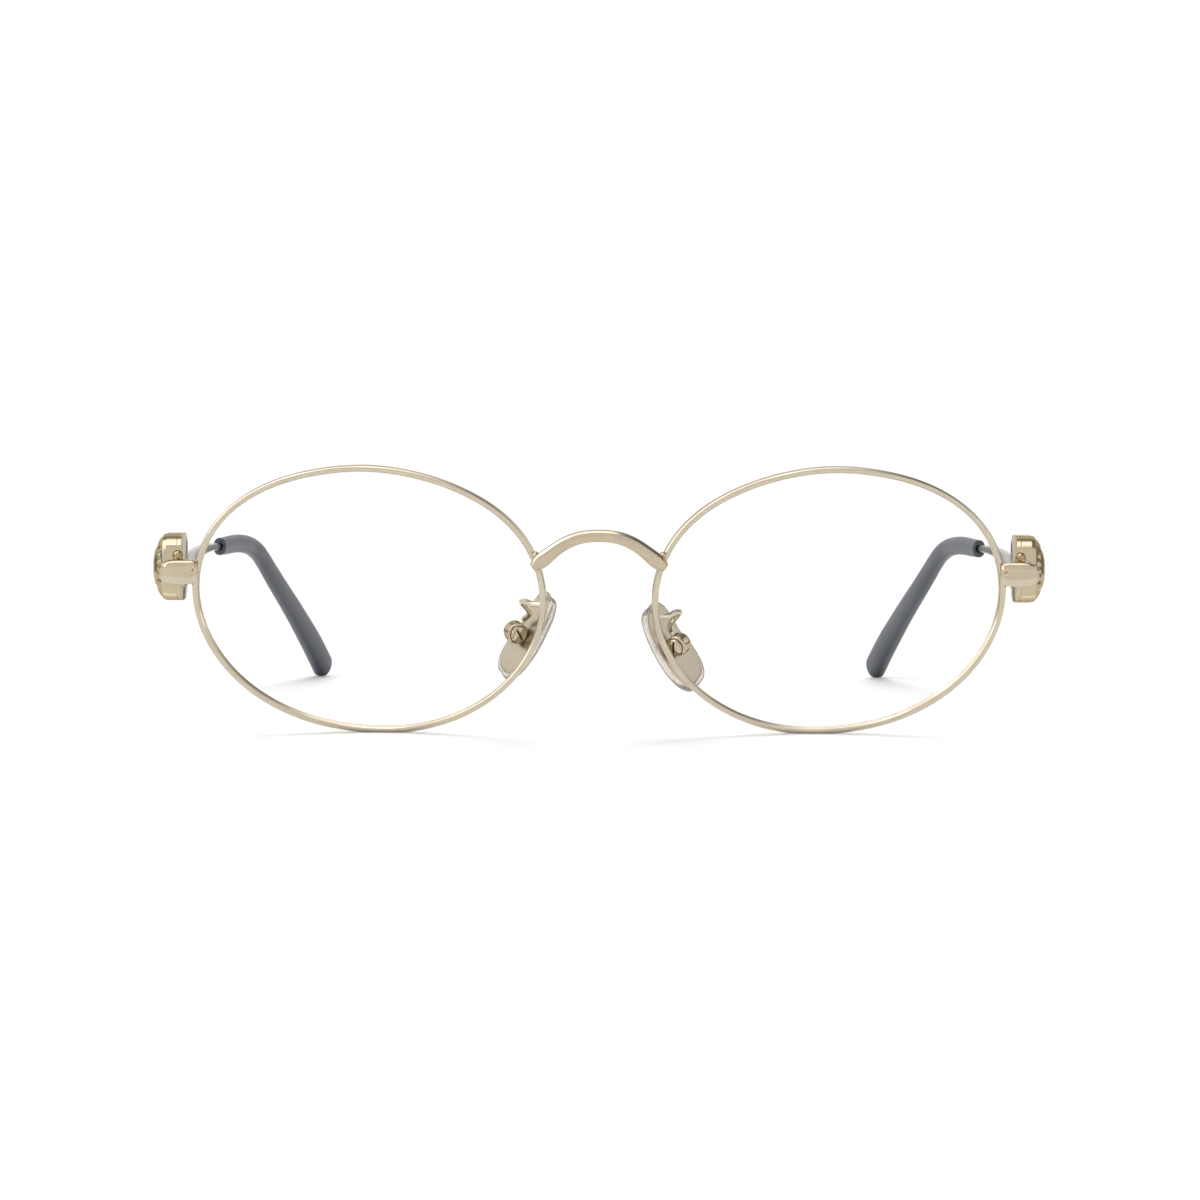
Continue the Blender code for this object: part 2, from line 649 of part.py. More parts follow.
def medallion(side, pivot, parent):
    s = SIDES[side]
    rings = []
    for x, k in ORNAMENT:
        rings.append([Vector((s * x, LOBE_Y + y * k, LOBE_Z + z * k)) for y, z in superellipse(20, LOBE_RY, LOBE_RZ, 3.6)])
    return finish(f"medallion_{side}", loft(rings), ornament_gold(f"medallion_{side}"), pivot, parent)


# half height and half thickness of the tip along its length (share of length: value)
TIP_SHARE = [0.0, 0.015, 0.10, 0.28, 0.42, 0.58, 0.75, 0.90, 1.0]
TIP_HALF_H = [1.30, 1.50, 1.55, 1.58, 1.68, 1.98, 2.33, 2.50, 2.20]
TIP_HALF_T = [0.95, 1.12, 1.22, 1.28, 1.32, 1.42, 1.55, 1.65, 1.50]
TIP_END = 2.1             # length of the rounded end
TIP_BORE = CORE_R * 1.08 + 0.07


def temple_tip(side, pivot, parent):
    s = SIDES[side]
    start, end = MOUTH_S, TEMPLE_LEN
    span = end - start
    n = 14

    def ring(q, hh, ht, p=2.4, bore=False):
        c, t, sd, up = temple_frame(min(q, TEMPLE_LEN))
        c = c + t * max(q - TEMPLE_LEN, 0.0)
        pts = []
        m = 8 if bore else n
        for i in range(m):
            a = 2 * math.pi * (i + 0.5) / m
            co, si = math.cos(a), math.sin(a)
            k = 1.0 if bore else (abs(co) ** p + abs(si) ** p) ** (-1 / p)
            v = c + sd * (ht * k * co) + up * (hh * k * si)
            pts.append(Vector((s * v[0], v[1], max(v[2], GROUND))))
        return pts

    rings = []
    share = list(np.r_[0.0, 0.015, np.linspace(0.06, 1.0, 22)])
    for f in share:
        hh = float(np.interp(f, TIP_SHARE, TIP_HALF_H))
        ht = float(np.interp(f, TIP_SHARE, TIP_HALF_T))
        rings.append(ring(start + f * span, hh, ht))
    hh, ht = TIP_HALF_H[-1], TIP_HALF_T[-1]
    for a in (25, 48, 68, 83):
        c = math.cos(math.radians(a))
        rings.append(ring(end + TIP_END * math.sin(math.radians(a)), hh * c, ht * c))
    bm = bmesh.new()
    outer = [[bm.verts.new(p) for p in r] for r in rings]
    depth = [start + f * (span - 8.4) for f in np.linspace(0, 1, 22)]
    b = TIP_BORE / math.cos(math.pi / 8)
    inner = [[bm.verts.new(p) for p in ring(q, b, b, bore=True)] for q in depth]
    for row in (outer, inner):
        for a, c in zip(row, row[1:]):
            for i in range(len(a)):
                j = (i + 1) % len(a)
                bm.faces.new((a[i], a[j], c[j], c[i]))
    bm.faces.new(outer[-1])
    bm.faces.new(inner[-1])
    cap_region(bm, [outer[0], inner[0]])
    return finish(f"temple_tip_{side}", bm, slate(f"temple_tip_{side}"), pivot, parent, smooth=60)


# ---------------------------------------------------------------- nose pads
PAD_HALF_L, PAD_HALF_W = 7.6, 4.2
PAD_SHAPE = [0.69, 0.93, 0.80, 0.95, 1.11, 1.35, 1.13, 1.13]  # from the back edge, upward and round
PAD_OUT = 1.35            # from the screw axis to the plate's outer face
PAD_PLATE_T = 1.20        # thickness of the plate


def pad_outline(side, k, n=24):
    """Outline of the pad, narrow at the top with a bowed front edge, scaled by k."""
    du, dv = PADS[side]["shift"]
    phi = np.linspace(0, 2 * math.pi, n, endpoint=False)
    r = spoke_radius(PAD_SHAPE, phi) * k
    return [(du + PAD_HALF_W * ri * math.cos(p), dv + PAD_HALF_L * ri * math.sin(p))
            for ri, p in zip(r, phi)]


def pad_axes(side):
    s = SIDES[side]
    a = PADS[side]
    sp, ln = math.radians(a["splay"]), math.radians(a["lean"])
    up = np.array([-s * math.sin(ln), 0.0, math.cos(ln)])
    w0 = np.array([0.0, 1.0, 0.0])
    n0 = np.cross(w0, up) * s         # away from the nose
    w = math.cos(sp) * w0 + math.sin(sp) * n0
    n = math.cos(sp) * n0 - math.sin(sp) * w0
    return w, up, n


def pad_frame(side):
    """Maps pad coordinates from the screw's middle (back, up, away from the nose) to the design."""
    w, up, n = pad_axes(side)
    o = np.array(PADS[side]["screw"])

    def world(u, v, q):
        return Vector(o + w * u + up * v + n * q)

    return world, o, w, up, n


def pad_plate(side, pivot, parent):
    world, o, w, up, n = pad_frame(side)
    bm = bmesh.new()
    face = -PAD_OUT
    levels = [(face - PAD_PLATE_T, 0.74), (face - PAD_PLATE_T + 0.20, 0.83), (face - 0.50, 0.89), (face - 0.06, 0.90), (face, 0.87)]
    rows = [[bm.verts.new(world(u, v, q)) for u, v in pad_outline(side, k)] for q, k in levels]
    for a, b in zip(rows, rows[1:]):
        for i in range(len(a)):
            j = (i + 1) % len(a)
            bm.faces.new((a[i], a[j], b[j], b[i]))
    bm.faces.new(rows[0])
    hw, hv = BOX_SLOT - 0.06, 0.78
    foot = {(a, b): bm.verts.new(world(a * hw, b * hv, face)) for a in (-1, 1) for b in (-1, 1)}
    cap_region(bm, [rows[-1], [foot[-1, -1], foot[1, -1], foot[1, 1], foot[-1, 1]]])
    head = arc(hv, 0, 180, 9)
    cheeks = []
    for a in (-1, 1):
        loop = [foot[a, 1]] + [bm.verts.new(world(a * hw, v, q)) for v, q in head] + [foot[a, -1]]
        hole = [bm.verts.new(world(a * hw, v, q)) for v, q in circle(PAD_BORE_R, 10)]
        cap_region(bm, [loop, hole])
        cheeks.append((loop, hole))
    (la, ha), (lb, hb) = cheeks
    for i in range(len(la) - 1):
        bm.faces.new((la[i], la[i + 1], lb[i + 1], lb[i]))
    for i in range(len(ha)):
        j = (i + 1) % len(ha)
        bm.faces.new((ha[i], ha[j], hb[j], hb[i]))
    return finish(f"pad_plate_{side}", bm, gold(f"pad_plate_{side}"), pivot, parent)


def pad_cushion(side, pivot, parent):
    world, o, w, up, n = pad_frame(side)
    face = -PAD_OUT
    floor = face - PAD_PLATE_T - 0.06
    levels = [(floor, 0.765), (floor + 0.24, 0.855), (face - 0.50, 0.912), (face + 0.02, 0.925), (face + 0.02, 0.96),
              (face - 0.22, 0.99), (face - 0.60, 1.0), (face - 1.10, 0.97), (face - 1.55, 0.86), (face - 1.86, 0.60), (face - 1.94, 0.28)]
    rings = [[world(u, v, q) for u, v in pad_outline(side, k)] for q, k in levels]
    return finish(f"pad_cushion_{side}", loft(rings), silicone(f"pad_cushion_{side}"), pivot, parent, smooth=60)


BOX_W = 1.00              # half length of the pad box along its screw
BOX_R = 1.70              # its round back
BOX_SLOT = 0.54           # half width of its slot


def pad_box(side):
    world, o, w, up, n = pad_frame(side)
    base = arc(BOX_R, 32, 148, 8, 0.0, 0.15)
    ear = (arc(BOX_R, 162, 180, 2, 0.0, 0.15) + [(-BOX_R, -0.72), (-BOX_R + 0.24, -0.95), (BOX_R - 0.24, -0.95), (BOX_R, -0.72)]
           + arc(BOX_R, 0, 18, 2, 0.0, 0.15))
    hole = circle(PAD_FIX_R, 10)

    def to_world(v, q, u):
        return world(u, v, q)

    bm = leaf_solid(base, ear, hole, [-BOX_W, -BOX_SLOT, BOX_SLOT, BOX_W], [True, False, True], to_world)
    return finish(f"pad_box_{side}", bm, gold(f"pad_box_{side}"))


def pad_screw(side):
    world, o, w, up, n = pad_frame(side)

    def to_world(a, b, h):
        return world(h, a, b)

    f = -BOX_W - 0.04
    prof = [(0, f - 0.46), (0.55, f - 0.44), (1.00, f - 0.32), (1.18, f - 0.10), (1.18, f), (PAD_PIN_R, f),
            (PAD_PIN_R, BOX_W - 0.05), (0.36, BOX_W + 0.06), (0, BOX_W + 0.06)]
    return finish(f"pad_screw_{side}", turned(prof, 12, to_world), gold(f"pad_screw_{side}"))


ARM_WIRE = 0.44


def pad_arm_path(side):
    """From the solder joint on the eyewire's back, round the loop, to the top of the box."""
    world, o, w, up, n = pad_frame(side)
    s = SIDES[side]
    z = PADS[side]["solder"]
    near = min(eyewire_stations(EYEWIRE_STATIONS), key=lambda st: abs(st[0][2] - z) + (100 if st[0][0] > LENS_X else 0))
    start = near[0] + near[2] * (WIRE_D + ARM_WIRE + 0.05)
    pts = [(s * start[0], start[1], start[2])] + [(s * x, y, z) for x, y, z in PADS[side]["bends"]]
    end = np.array(world(0.70, BOX_R + 0.04, -0.30))
    return [np.array(p) for p in pts] + [end + up * 0.55, end]


def pad_arm(side):
    path, length = smooth_path(pad_arm_path(side), 30)
    tan = tangents(path)
    rings = []
    ref = np.array([0.0, 0.0, 1.0])
    tan[-1] = tan[-2] = -pad_axes(side)[1]
    for k, (p, t) in enumerate(zip(path, tan)):
        ref = ref - t * (ref @ t)
        ref /= np.linalg.norm(ref)
        b = np.cross(t, ref)
        r = ARM_WIRE
        rings.append([Vector(p + ref * (r * math.cos(a)) + b * (r * math.sin(a)))
                      for a in [2 * math.pi * i / 8 for i in range(8)]])
    return finish(f"pad_arm_{side}", loft(rings), gold(f"pad_arm_{side}"))


# ---------------------------------------------------------------- assembly
bridge()
for side, s in SIDES.items():
    eyewire(side)
    rim_lock(side, "upper")
    rim_lock(side, "lower")
    rim_lock_screw(side)
    end_piece(side)
    hinge_front(side)
    hinge_screw(side)
    pad_arm(side)
    pad_box(side)
    pad_screw(side)

    axis = (s * HINGE_X, HINGE_Y, HINGE_Z)
    fold = bpy.data.objects.new(f"fold_axis_{side}", None)
    fold.location = place(axis)
    bpy.context.scene.collection.objects.link(fold)
    hinge_temple(side, axis, fold)
    temple_arm(side, axis, fold)
    medallion(side, axis, fold)
    temple_tip(side, axis, fold)

    screw_at = pad_frame(side)[1]
    rock = bpy.data.objects.new(f"rock_axis_{side}", None)
    rock.location = place(screw_at)
    bpy.context.scene.collection.objects.link(rock)
    pad_plate(side, screw_at, rock)
    pad_cushion(side, screw_at, rock)
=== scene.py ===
"""Looks of the metal eyeglass frame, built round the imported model.

Lengths in the shape code are millimetres in the same design frame as the part; every
mesh is scaled to metres as it is made.  +X is the wearer's left.
"""
import json
import math

import bmesh
import bpy
import numpy as np
from mathutils import Euler, Matrix, Vector
from mathutils.geometry import tessellate_polygon

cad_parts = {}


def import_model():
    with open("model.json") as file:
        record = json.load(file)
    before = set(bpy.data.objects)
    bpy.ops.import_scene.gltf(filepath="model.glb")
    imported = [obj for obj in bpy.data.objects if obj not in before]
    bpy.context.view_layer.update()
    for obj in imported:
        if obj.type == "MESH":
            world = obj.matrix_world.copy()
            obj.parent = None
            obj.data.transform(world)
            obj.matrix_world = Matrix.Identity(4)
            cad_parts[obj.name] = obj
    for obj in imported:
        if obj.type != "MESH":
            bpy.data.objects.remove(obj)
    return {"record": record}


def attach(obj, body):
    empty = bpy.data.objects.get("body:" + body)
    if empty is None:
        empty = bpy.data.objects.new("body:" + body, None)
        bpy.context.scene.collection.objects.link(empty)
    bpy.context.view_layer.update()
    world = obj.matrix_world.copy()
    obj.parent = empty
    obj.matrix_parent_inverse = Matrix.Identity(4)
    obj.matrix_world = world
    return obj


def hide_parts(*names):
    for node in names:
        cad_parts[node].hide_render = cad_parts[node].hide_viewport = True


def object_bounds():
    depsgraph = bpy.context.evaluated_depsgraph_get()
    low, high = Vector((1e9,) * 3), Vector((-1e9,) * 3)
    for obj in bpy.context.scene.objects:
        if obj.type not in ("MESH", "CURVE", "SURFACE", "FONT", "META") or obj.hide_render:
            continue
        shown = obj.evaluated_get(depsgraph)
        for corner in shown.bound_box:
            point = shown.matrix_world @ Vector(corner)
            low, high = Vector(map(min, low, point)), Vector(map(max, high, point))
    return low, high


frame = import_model()


def box_lists():
    lo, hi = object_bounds()
    return [[float(v) for v in lo], [float(v) for v in hi]]


CAD_BOX = box_lists()
COLLECTION = bpy.context.scene.collection

# ---------------------------------------------------------------- dimensions (mm), as in the part
GROUND = 0.0
Y_CENTRE = 67.29
M = 0.001
SIDES = {"left": 1.0, "right": -1.0}

LENS_X, LENS_Z = 36.0, 20.9
TRACE = [26.55, 26.1, 23.4, 20.9, 20.0, 20.5, 22.6, 25.7,
         27.3, 26.35, 23.95, 21.75, 20.5, 20.8, 22.4, 24.75]
BASE_RADIUS = 130.0
TILT = math.radians(6.0)
WRAP = math.radians(3.5)
FORM_X, FORM_Z = 34.6, 20.8
LUG_X, LUG_Z = 62.9, 24.8
WIRE_R, WIRE_D, GROOVE = 0.50, 1.60, 0.36
SPLIT_Z, SPLIT = 24.75, 0.10

HINGE_X, HINGE_Y, HINGE_Z = 65.6, 3.8, 24.75
KNUCKLE_R, HINGE_PIN_R, HINGE_BORE_R, HINGE_FIX_R = 1.15, 0.60, 0.66, 0.64
HINGE_H, HINGE_HEAD_R = 3.4, 0.80
PAD_BORE_R, PAD_PIN_R, PAD_FIX_R = 0.56, 0.50, 0.54

PADS = {
    "right": {"splay": 27.5, "lean": 31.0, "screw": (-12.95, 6.1, 15.2), "shift": (0.10, 1.70), "solder": 19.5,
              "bends": [(10.3, -0.2, 20.0), (11.5, 1.4, 20.3), (12.05, 3.1, 20.1),
                        (11.35, 4.4, 19.2), (10.8, 5.4, 18.3), (11.35, 6.3, 17.6)]},
    "left": {"splay": 38.0, "lean": 32.5, "screw": (12.4, 5.7, 13.4), "shift": (1.15, 1.35), "solder": 17.8,
             "bends": [(10.6, -0.4, 18.2), (11.9, 1.3, 18.7), (12.55, 3.0, 18.6),
                       (12.0, 4.4, 17.75), (11.3, 5.4, 16.8), (11.15, 6.1, 15.95)]},
}


# ================================================================ materials
class Tree:
    """Short names for building a node tree."""

    def __init__(self, mat):
        mat.use_nodes = True
        self.t = mat.node_tree
        for n in list(self.t.nodes):
            self.t.nodes.remove(n)
        self.out = self.add("ShaderNodeOutputMaterial")
        self.bsdf = self.add("ShaderNodeBsdfPrincipled")
        self.t.links.new(self.bsdf.outputs[0], self.out.inputs[0])
        self.coords = self.add("ShaderNodeTexCoord")

    def add(self, kind, **values):
        n = self.t.nodes.new(kind)
        for k, v in values.items():
            setattr(n, k, v)
        return n

    def link(self, a, b):
        self.t.links.new(a, b)

    def noise(self, scale, detail=3.0, rough=0.5, stretch=None):
        n = self.add("ShaderNodeTexNoise")
        n.inputs["Scale"].default_value = scale
        n.inputs["Detail"].default_value = detail
        n.inputs["Roughness"].default_value = rough
        if stretch is None:
            self.link(self.coords.outputs["Object"], n.inputs["Vector"])
        else:
            m = self.add("ShaderNodeMapping")
            m.inputs["Scale"].default_value = stretch
            self.link(self.coords.outputs["Object"], m.inputs["Vector"])
            self.link(m.outputs["Vector"], n.inputs["Vector"])
        return n.outputs["Fac"]

    def span(self, value, lo, hi, a=0.3, b=0.7):
        n = self.add("ShaderNodeMapRange")
        n.inputs["From Min"].default_value = a
        n.inputs["From Max"].default_value = b
        n.inputs["To Min"].default_value = lo
        n.inputs["To Max"].default_value = hi
        self.link(value, n.inputs["Value"])
        return n.outputs["Result"]

    def mix(self, fac, a, b):
        n = self.add("ShaderNodeMix", data_type="RGBA")
        for socket, value in ((n.inputs[6], a), (n.inputs[7], b)):
            if isinstance(value, tuple):
                socket.default_value = (*value, 1.0)
            else:
                self.link(value, socket)
        self.link(fac, n.inputs[0])
        return n.outputs[2]

    def add_values(self, a, b, ka=1.0, kb=1.0):
        m = self.add("ShaderNodeMath", operation="MULTIPLY")
        m.inputs[1].default_value = kb
        self.link(b, m.inputs[0])
        n = self.add("ShaderNodeMath", operation="MULTIPLY_ADD")
        n.inputs[1].default_value = ka
        self.link(a, n.inputs[0])
        self.link(m.outputs[0], n.inputs[2])
        return n.outputs[0]

    def bump(self, height, distance, strength=1.0):
        n = self.add("ShaderNodeBump")
        n.inputs["Strength"].default_value = strength
        n.inputs["Distance"].default_value = distance
        self.link(height, n.inputs["Height"])
        self.link(n.outputs["Normal"], self.bsdf.inputs["Normal"])


def plated(name, colour, edge, low, high, brim, brush=None, bump=0.0000012, rubbed=0.7):
    """Polished plating: faint clouding, fine polishing lines, paler rubbed edges."""
    m = bpy.data.materials.new(name)
    t = Tree(m)
    b = t.bsdf
    b.inputs["Metallic"].default_value = 1.0
    b.inputs["Specular Tint"].default_value = (*brim, 1.0)      # tone of the plating at a grazing view
    cloud = t.noise(420.0, 3.0, 0.55)
    fine = t.noise(5200.0, 2.0, 0.6, stretch=brush)
    tone = t.mix(t.span(cloud, 0.0, 1.0), tuple(c * 0.955 for c in colour), tuple(min(c * 1.035, 1.0) for c in colour))
    if rubbed:
        geo = t.add("ShaderNodeNewGeometry")
        worn = t.span(geo.outputs["Pointiness"], 0.0, rubbed, 0.53, 0.60)
        tone = t.mix(worn, tone, edge)
    t.link(tone, b.inputs["Base Color"])
    t.link(t.span(t.add_values(cloud, fine, 0.6, 0.4), low, high), b.inputs["Roughness"])
    t.bump(fine, bump, 0.2)
    return m


def gold(name="champagne_gold"):
    return plated(name, (0.530, 0.447, 0.330), (0.62, 0.54, 0.42), 0.09, 0.16, (0.60, 0.52, 0.40), rubbed=0.0)


def moulded(name, colour, light, low, high):
    """Smooth moulded acetate: slight mottling under a soft gloss."""
    m = bpy.data.materials.new(name)
    t = Tree(m)
    b = t.bsdf
    b.inputs["IOR"].default_value = 1.42
    mottle = t.noise(260.0, 4.0, 0.6)
    grain = t.noise(3800.0, 2.0, 0.5)
    t.link(t.mix(t.span(mottle, 0.0, 1.0), colour, light), b.inputs["Base Color"])
    t.link(t.span(t.add_values(mottle, grain, 0.5, 0.5), low, high), b.inputs["Roughness"])
    t.bump(grain, 0.000002, 0.10)
    return m


def clear(name):
    """Clear silicone with a faint warm, slightly milky body and a handled, very slightly uneven skin."""
    m = bpy.data.materials.new(name)
    t = Tree(m)
    b = t.bsdf
    b.inputs["IOR"].default_value = 1.38
    b.inputs["Transmission Weight"].default_value = 0.80
    haze = t.noise(500.0, 3.0, 0.5)
    skin = t.noise(2600.0, 2.0, 0.5)
    t.link(t.mix(t.span(haze, 0.0, 1.0), (0.945, 0.915, 0.86), (0.97, 0.945, 0.90)), b.inputs["Base Color"])
    t.link(t.span(skin, 0.03, 0.07), b.inputs["Roughness"])
    t.bump(skin, 0.000003, 0.06)
    body = t.add("ShaderNodeVolumeAbsorption")                  # warm depth where the pad is thick
    body.inputs["Color"].default_value = (0.80, 0.72, 0.60, 1.0)
    body.inputs["Density"].default_value = 330.0
    t.link(body.outputs["Volume"], t.out.inputs["Volume"])
    return m


GOLD = gold()
ORNAMENT = plated("ornament_gold", (0.535, 0.460, 0.322), (0.76, 0.69, 0.55), 0.05, 0.11, (0.56, 0.48, 0.34))
# a brighter copy of the gold, painted on rows of a loft as a highlight
HIGHLIGHT_GOLD = plated("gold_painted_highlight", (0.595, 0.528, 0.415), (0.68, 0.62, 0.50), 0.09, 0.15, (0.66, 0.60, 0.50), rubbed=0.0)
# a darker copy of the gold for the hinge screws: painted shade standing in for the dark reflections round them
SCREW_GOLD_SHADED = plated("screw_gold_painted_shade", (0.400, 0.310, 0.165), (0.52, 0.42, 0.25), 0.08, 0.14, (0.45, 0.36, 0.20), rubbed=0.0)
# a paler copy of the gold for the pad arms: painted light making up for their dark reflections
ARM_GOLD_LIT = plated("arm_gold_painted_light", (0.720, 0.660, 0.555), (0.78, 0.72, 0.62), 0.09, 0.15, (0.70, 0.65, 0.55), rubbed=0.0)
PLATE = plated("satin_gold", (0.555, 0.492, 0.392), (0.60, 0.54, 0.44), 0.26, 0.34, (0.60, 0.54, 0.43), rubbed=0.0)
# a paler copy of the gold for the eyewires: painted light standing in for their brighter reflections
RIM_GOLD_LIT = plated("rim_gold_painted_light", (0.580, 0.512, 0.402), (0.64, 0.57, 0.46), 0.09, 0.16, (0.62, 0.55, 0.44), rubbed=0.0)
# dark gold painted into cut slots and dishes as shade in the recess
RECESS_SHADE = plated("recess_painted_shade", (0.20, 0.160, 0.105), (0.26, 0.21, 0.14), 0.28, 0.40, (0.20, 0.16, 0.11))
PALE = plated("pale_gold", (0.640, 0.628, 0.590), (0.74, 0.73, 0.69), 0.09, 0.16, (0.62, 0.61, 0.58))
SLATE = moulded("slate_acetate", (0.058, 0.065, 0.080), (0.066, 0.073, 0.089), 0.34, 0.40)
SILICONE = clear("clear_silicone")


# ================================================================ mesh helpers
def place(p):
    return Vector((p[0] * M, (p[1] - Y_CENTRE) * M, (p[2] - GROUND) * M))


def body_of(node):
    for body, members in frame["record"]["behaviour"]["bodies"].items():
        if node in members:
            return body
    raise KeyError(node)


def make(node, bm, mat, smooth=35.0, replaces=True, name=None, bevel=None, keep_ground=False, foot=0.0):
    """A piece that stands for a CAD node, or rides beside it."""
    for v in bm.verts:
        if foot and v.co.z < foot:                # eased on to the ground, so the end stays round
            v.co.z = foot * math.exp((v.co.z - foot) / foot)
        if keep_ground:
            v.co.z = max(v.co.z, GROUND)
            v.co.z = min(v.co.z, CAD_BOX[1][2] / M + GROUND)
            v.co.y = min(v.co.y, CAD_BOX[1][1] / M + Y_CENTRE)
        v.co = place(v.co)
    bmesh.ops.recalc_face_normals(bm, faces=bm.faces)
    if bm.calc_volume(signed=True) < 0:
        bmesh.ops.reverse_faces(bm, faces=bm.faces)
    me = bpy.data.meshes.new(name or f"vis_{node}")
    bm.to_mesh(me)
    bm.free()
    ob = bpy.data.objects.new(name or f"vis_{node}", me)
    COLLECTION.objects.link(ob)
    me.materials.append(mat)
    me.shade_smooth()
    me.set_sharp_from_angle(angle=math.radians(smooth))
    if bevel:
        m = ob.modifiers.new("edges", "BEVEL")
        m.width = bevel * M
        m.segments = 3
        m.limit_method = "ANGLE"
        m.angle_limit = math.radians(38)
        m.harden_normals = True
    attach(ob, body_of(node))
    if replaces:
        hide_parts(node)
    return ob


def loft(rings, closed=False, caps=True):
    bm = bmesh.new()
    vs = [[bm.verts.new(p) for p in ring] for ring in rings]
    n = len(rings[0])
    pairs = list(zip(vs, vs[1:])) + ([(vs[-1], vs[0])] if closed else [])
    for a, b in pairs:
        for i in range(n):
            j = (i + 1) % n
            bm.faces.new((a[i], a[j], b[j], b[i]))
    if caps and not closed:
        bm.faces.new(vs[0])
        bm.faces.new(list(reversed(vs[-1])))
    return bm


def paint_highlight_rows(ob, count, rows):
    """Rows of a loft painted in a brighter gold than the faces beside them: a painted highlight on the corner."""
    ob.data.materials.append(HIGHLIGHT_GOLD)
    whole = (len(ob.data.polygons) // count) * count
    for f in ob.data.polygons:
        if f.index < whole and f.index % count in rows:
            f.material_index = 1


def cap_region(bm, loops):
    flat = [v for loop in loops for v in loop]
    for tri in tessellate_polygon([[v.co for v in loop] for loop in loops]):
        try:
            bm.faces.new([flat[i] for i in tri])
        except ValueError:
            pass


def leaf_solid(base, ear, hole, levels, has_ear, to_world):
    bm = bmesh.new()

    def row(points):
        return [[bm.verts.new(to_world(p[0], p[1], z)) for p in points] for z in levels]

    vb, ve, vh = row(base), row(ear), row(hole)
    nb = len(base)
    top = len(levels) - 1
    for k in range(top):
        ring = (vb[k], vb[k + 1])
        for i in range(nb - 1):
            bm.faces.new((ring[0][i], ring[0][i + 1], ring[1][i + 1], ring[1][i]))
        if has_ear[k]:
            lo = [vb[k][-1]] + ve[k] + [vb[k][0]]
            hi = [vb[k + 1][-1]] + ve[k + 1] + [vb[k + 1][0]]
            for i in range(len(lo) - 1):
                bm.faces.new((lo[i], lo[i + 1], hi[i + 1], hi[i]))
            for i in range(len(hole)):
                j = (i + 1) % len(hole)
                bm.faces.new((vh[k][i], vh[k][j], vh[k + 1][j], vh[k + 1][i]))
        else:
            bm.faces.new((vb[k][-1], vb[k][0], vb[k + 1][0], vb[k + 1][-1]))
    for k in range(top + 1):
        below = k > 0 and has_ear[k - 1]
        above = k < top and has_ear[k]
        if below != above:
            cap_region(bm, [[vb[k][-1]] + ve[k] + [vb[k][0]], vh[k]])
    for k in (0, top):
        cap_region(bm, [vb[k]])
    loose = [v for v in bm.verts if not v.link_faces]
    bmesh.ops.delete(bm, geom=loose, context="VERTS")
    return bm


def turned(profile, n, to_world, slot=None):
    """A turned solid from (radius, height) pairs; the slot argument is not used."""
    bm = bmesh.new()
    rings = []
    for r, h in profile:
        if r < 1e-9:
            rings.append([bm.verts.new(to_world(0, 0, h))])
        else:
            rings.append([bm.verts.new(to_world(r * math.cos(2 * math.pi * (i + 0.5) / n),
                                                r * math.sin(2 * math.pi * (i + 0.5) / n), h))
                          for i in range(n)])
    for a, b in zip(rings, rings[1:]):
        for i in range(n):
            j = (i + 1) % n
            if len(a) == 1:
                bm.faces.new((a[0], b[j], b[i]))
            elif len(b) == 1:
                bm.faces.new((a[i], a[j], b[0]))
            else:
                bm.faces.new((a[i], a[j], b[j], b[i]))
    return bm


def circle(r, n, cx=0.0, cy=0.0):
    k = r / math.cos(math.pi / n)
    return [(cx + k * math.cos(2 * math.pi * (i + 0.5) / n),
             cy + k * math.sin(2 * math.pi * (i + 0.5) / n)) for i in range(n)]


def arc(r, a0, a1, n, cx=0.0, cy=0.0):
    return [(cx + r * math.cos(math.radians(a0 + (a1 - a0) * i / (n - 1))),
             cy + r * math.sin(math.radians(a0 + (a1 - a0) * i / (n - 1)))) for i in range(n)]


def rounded(poly, radii, seg=5, closed=True):
    """A polygon, or an open line, with its corners rounded; corner i has radius radii[i]."""
    pts = [np.array(p, float) for p in poly]
    n = len(pts)
    out = []
    for i in range(n):
        r = radii[i] if not np.isscalar(radii) else radii
        if (not closed and i in (0, n - 1)) or r < 1e-6:
            out.append(tuple(pts[i]))
            continue
        a, p, b = pts[(i - 1) % n], pts[i], pts[(i + 1) % n]
        u, v = a - p, b - p
        lu, lv = np.linalg.norm(u), np.linalg.norm(v)
        u, v = u / lu, v / lv
        half = math.acos(max(-1.0, min(1.0, float(u @ v)))) / 2
        if half > math.pi / 2 - 0.02:       # nearly straight: evenly spread points keep the count
            w = 0.2 * min(lu, lv)
            for k in range(seg + 1):
                q = 1 - 2 * k / seg
                out.append(tuple(p + (u * q if q > 0 else -v * q) * w))
            continue
        d = min(r / math.tan(half), 0.48 * lu, 0.48 * lv)
        r = d * math.tan(half)
        mid = (u + v) / np.linalg.norm(u + v)
        c = p + mid * (r / math.sin(half))
        s, e = p + u * d - c, p + v * d - c
        a0 = math.atan2(s[1], s[0])
        da = math.atan2(s[0] * e[1] - s[1] * e[0], float(s @ e))
        for k in range(seg + 1):
            t = a0 + da * k / seg
            out.append((c[0] + r * math.cos(t), c[1] + r * math.sin(t)))
    return out


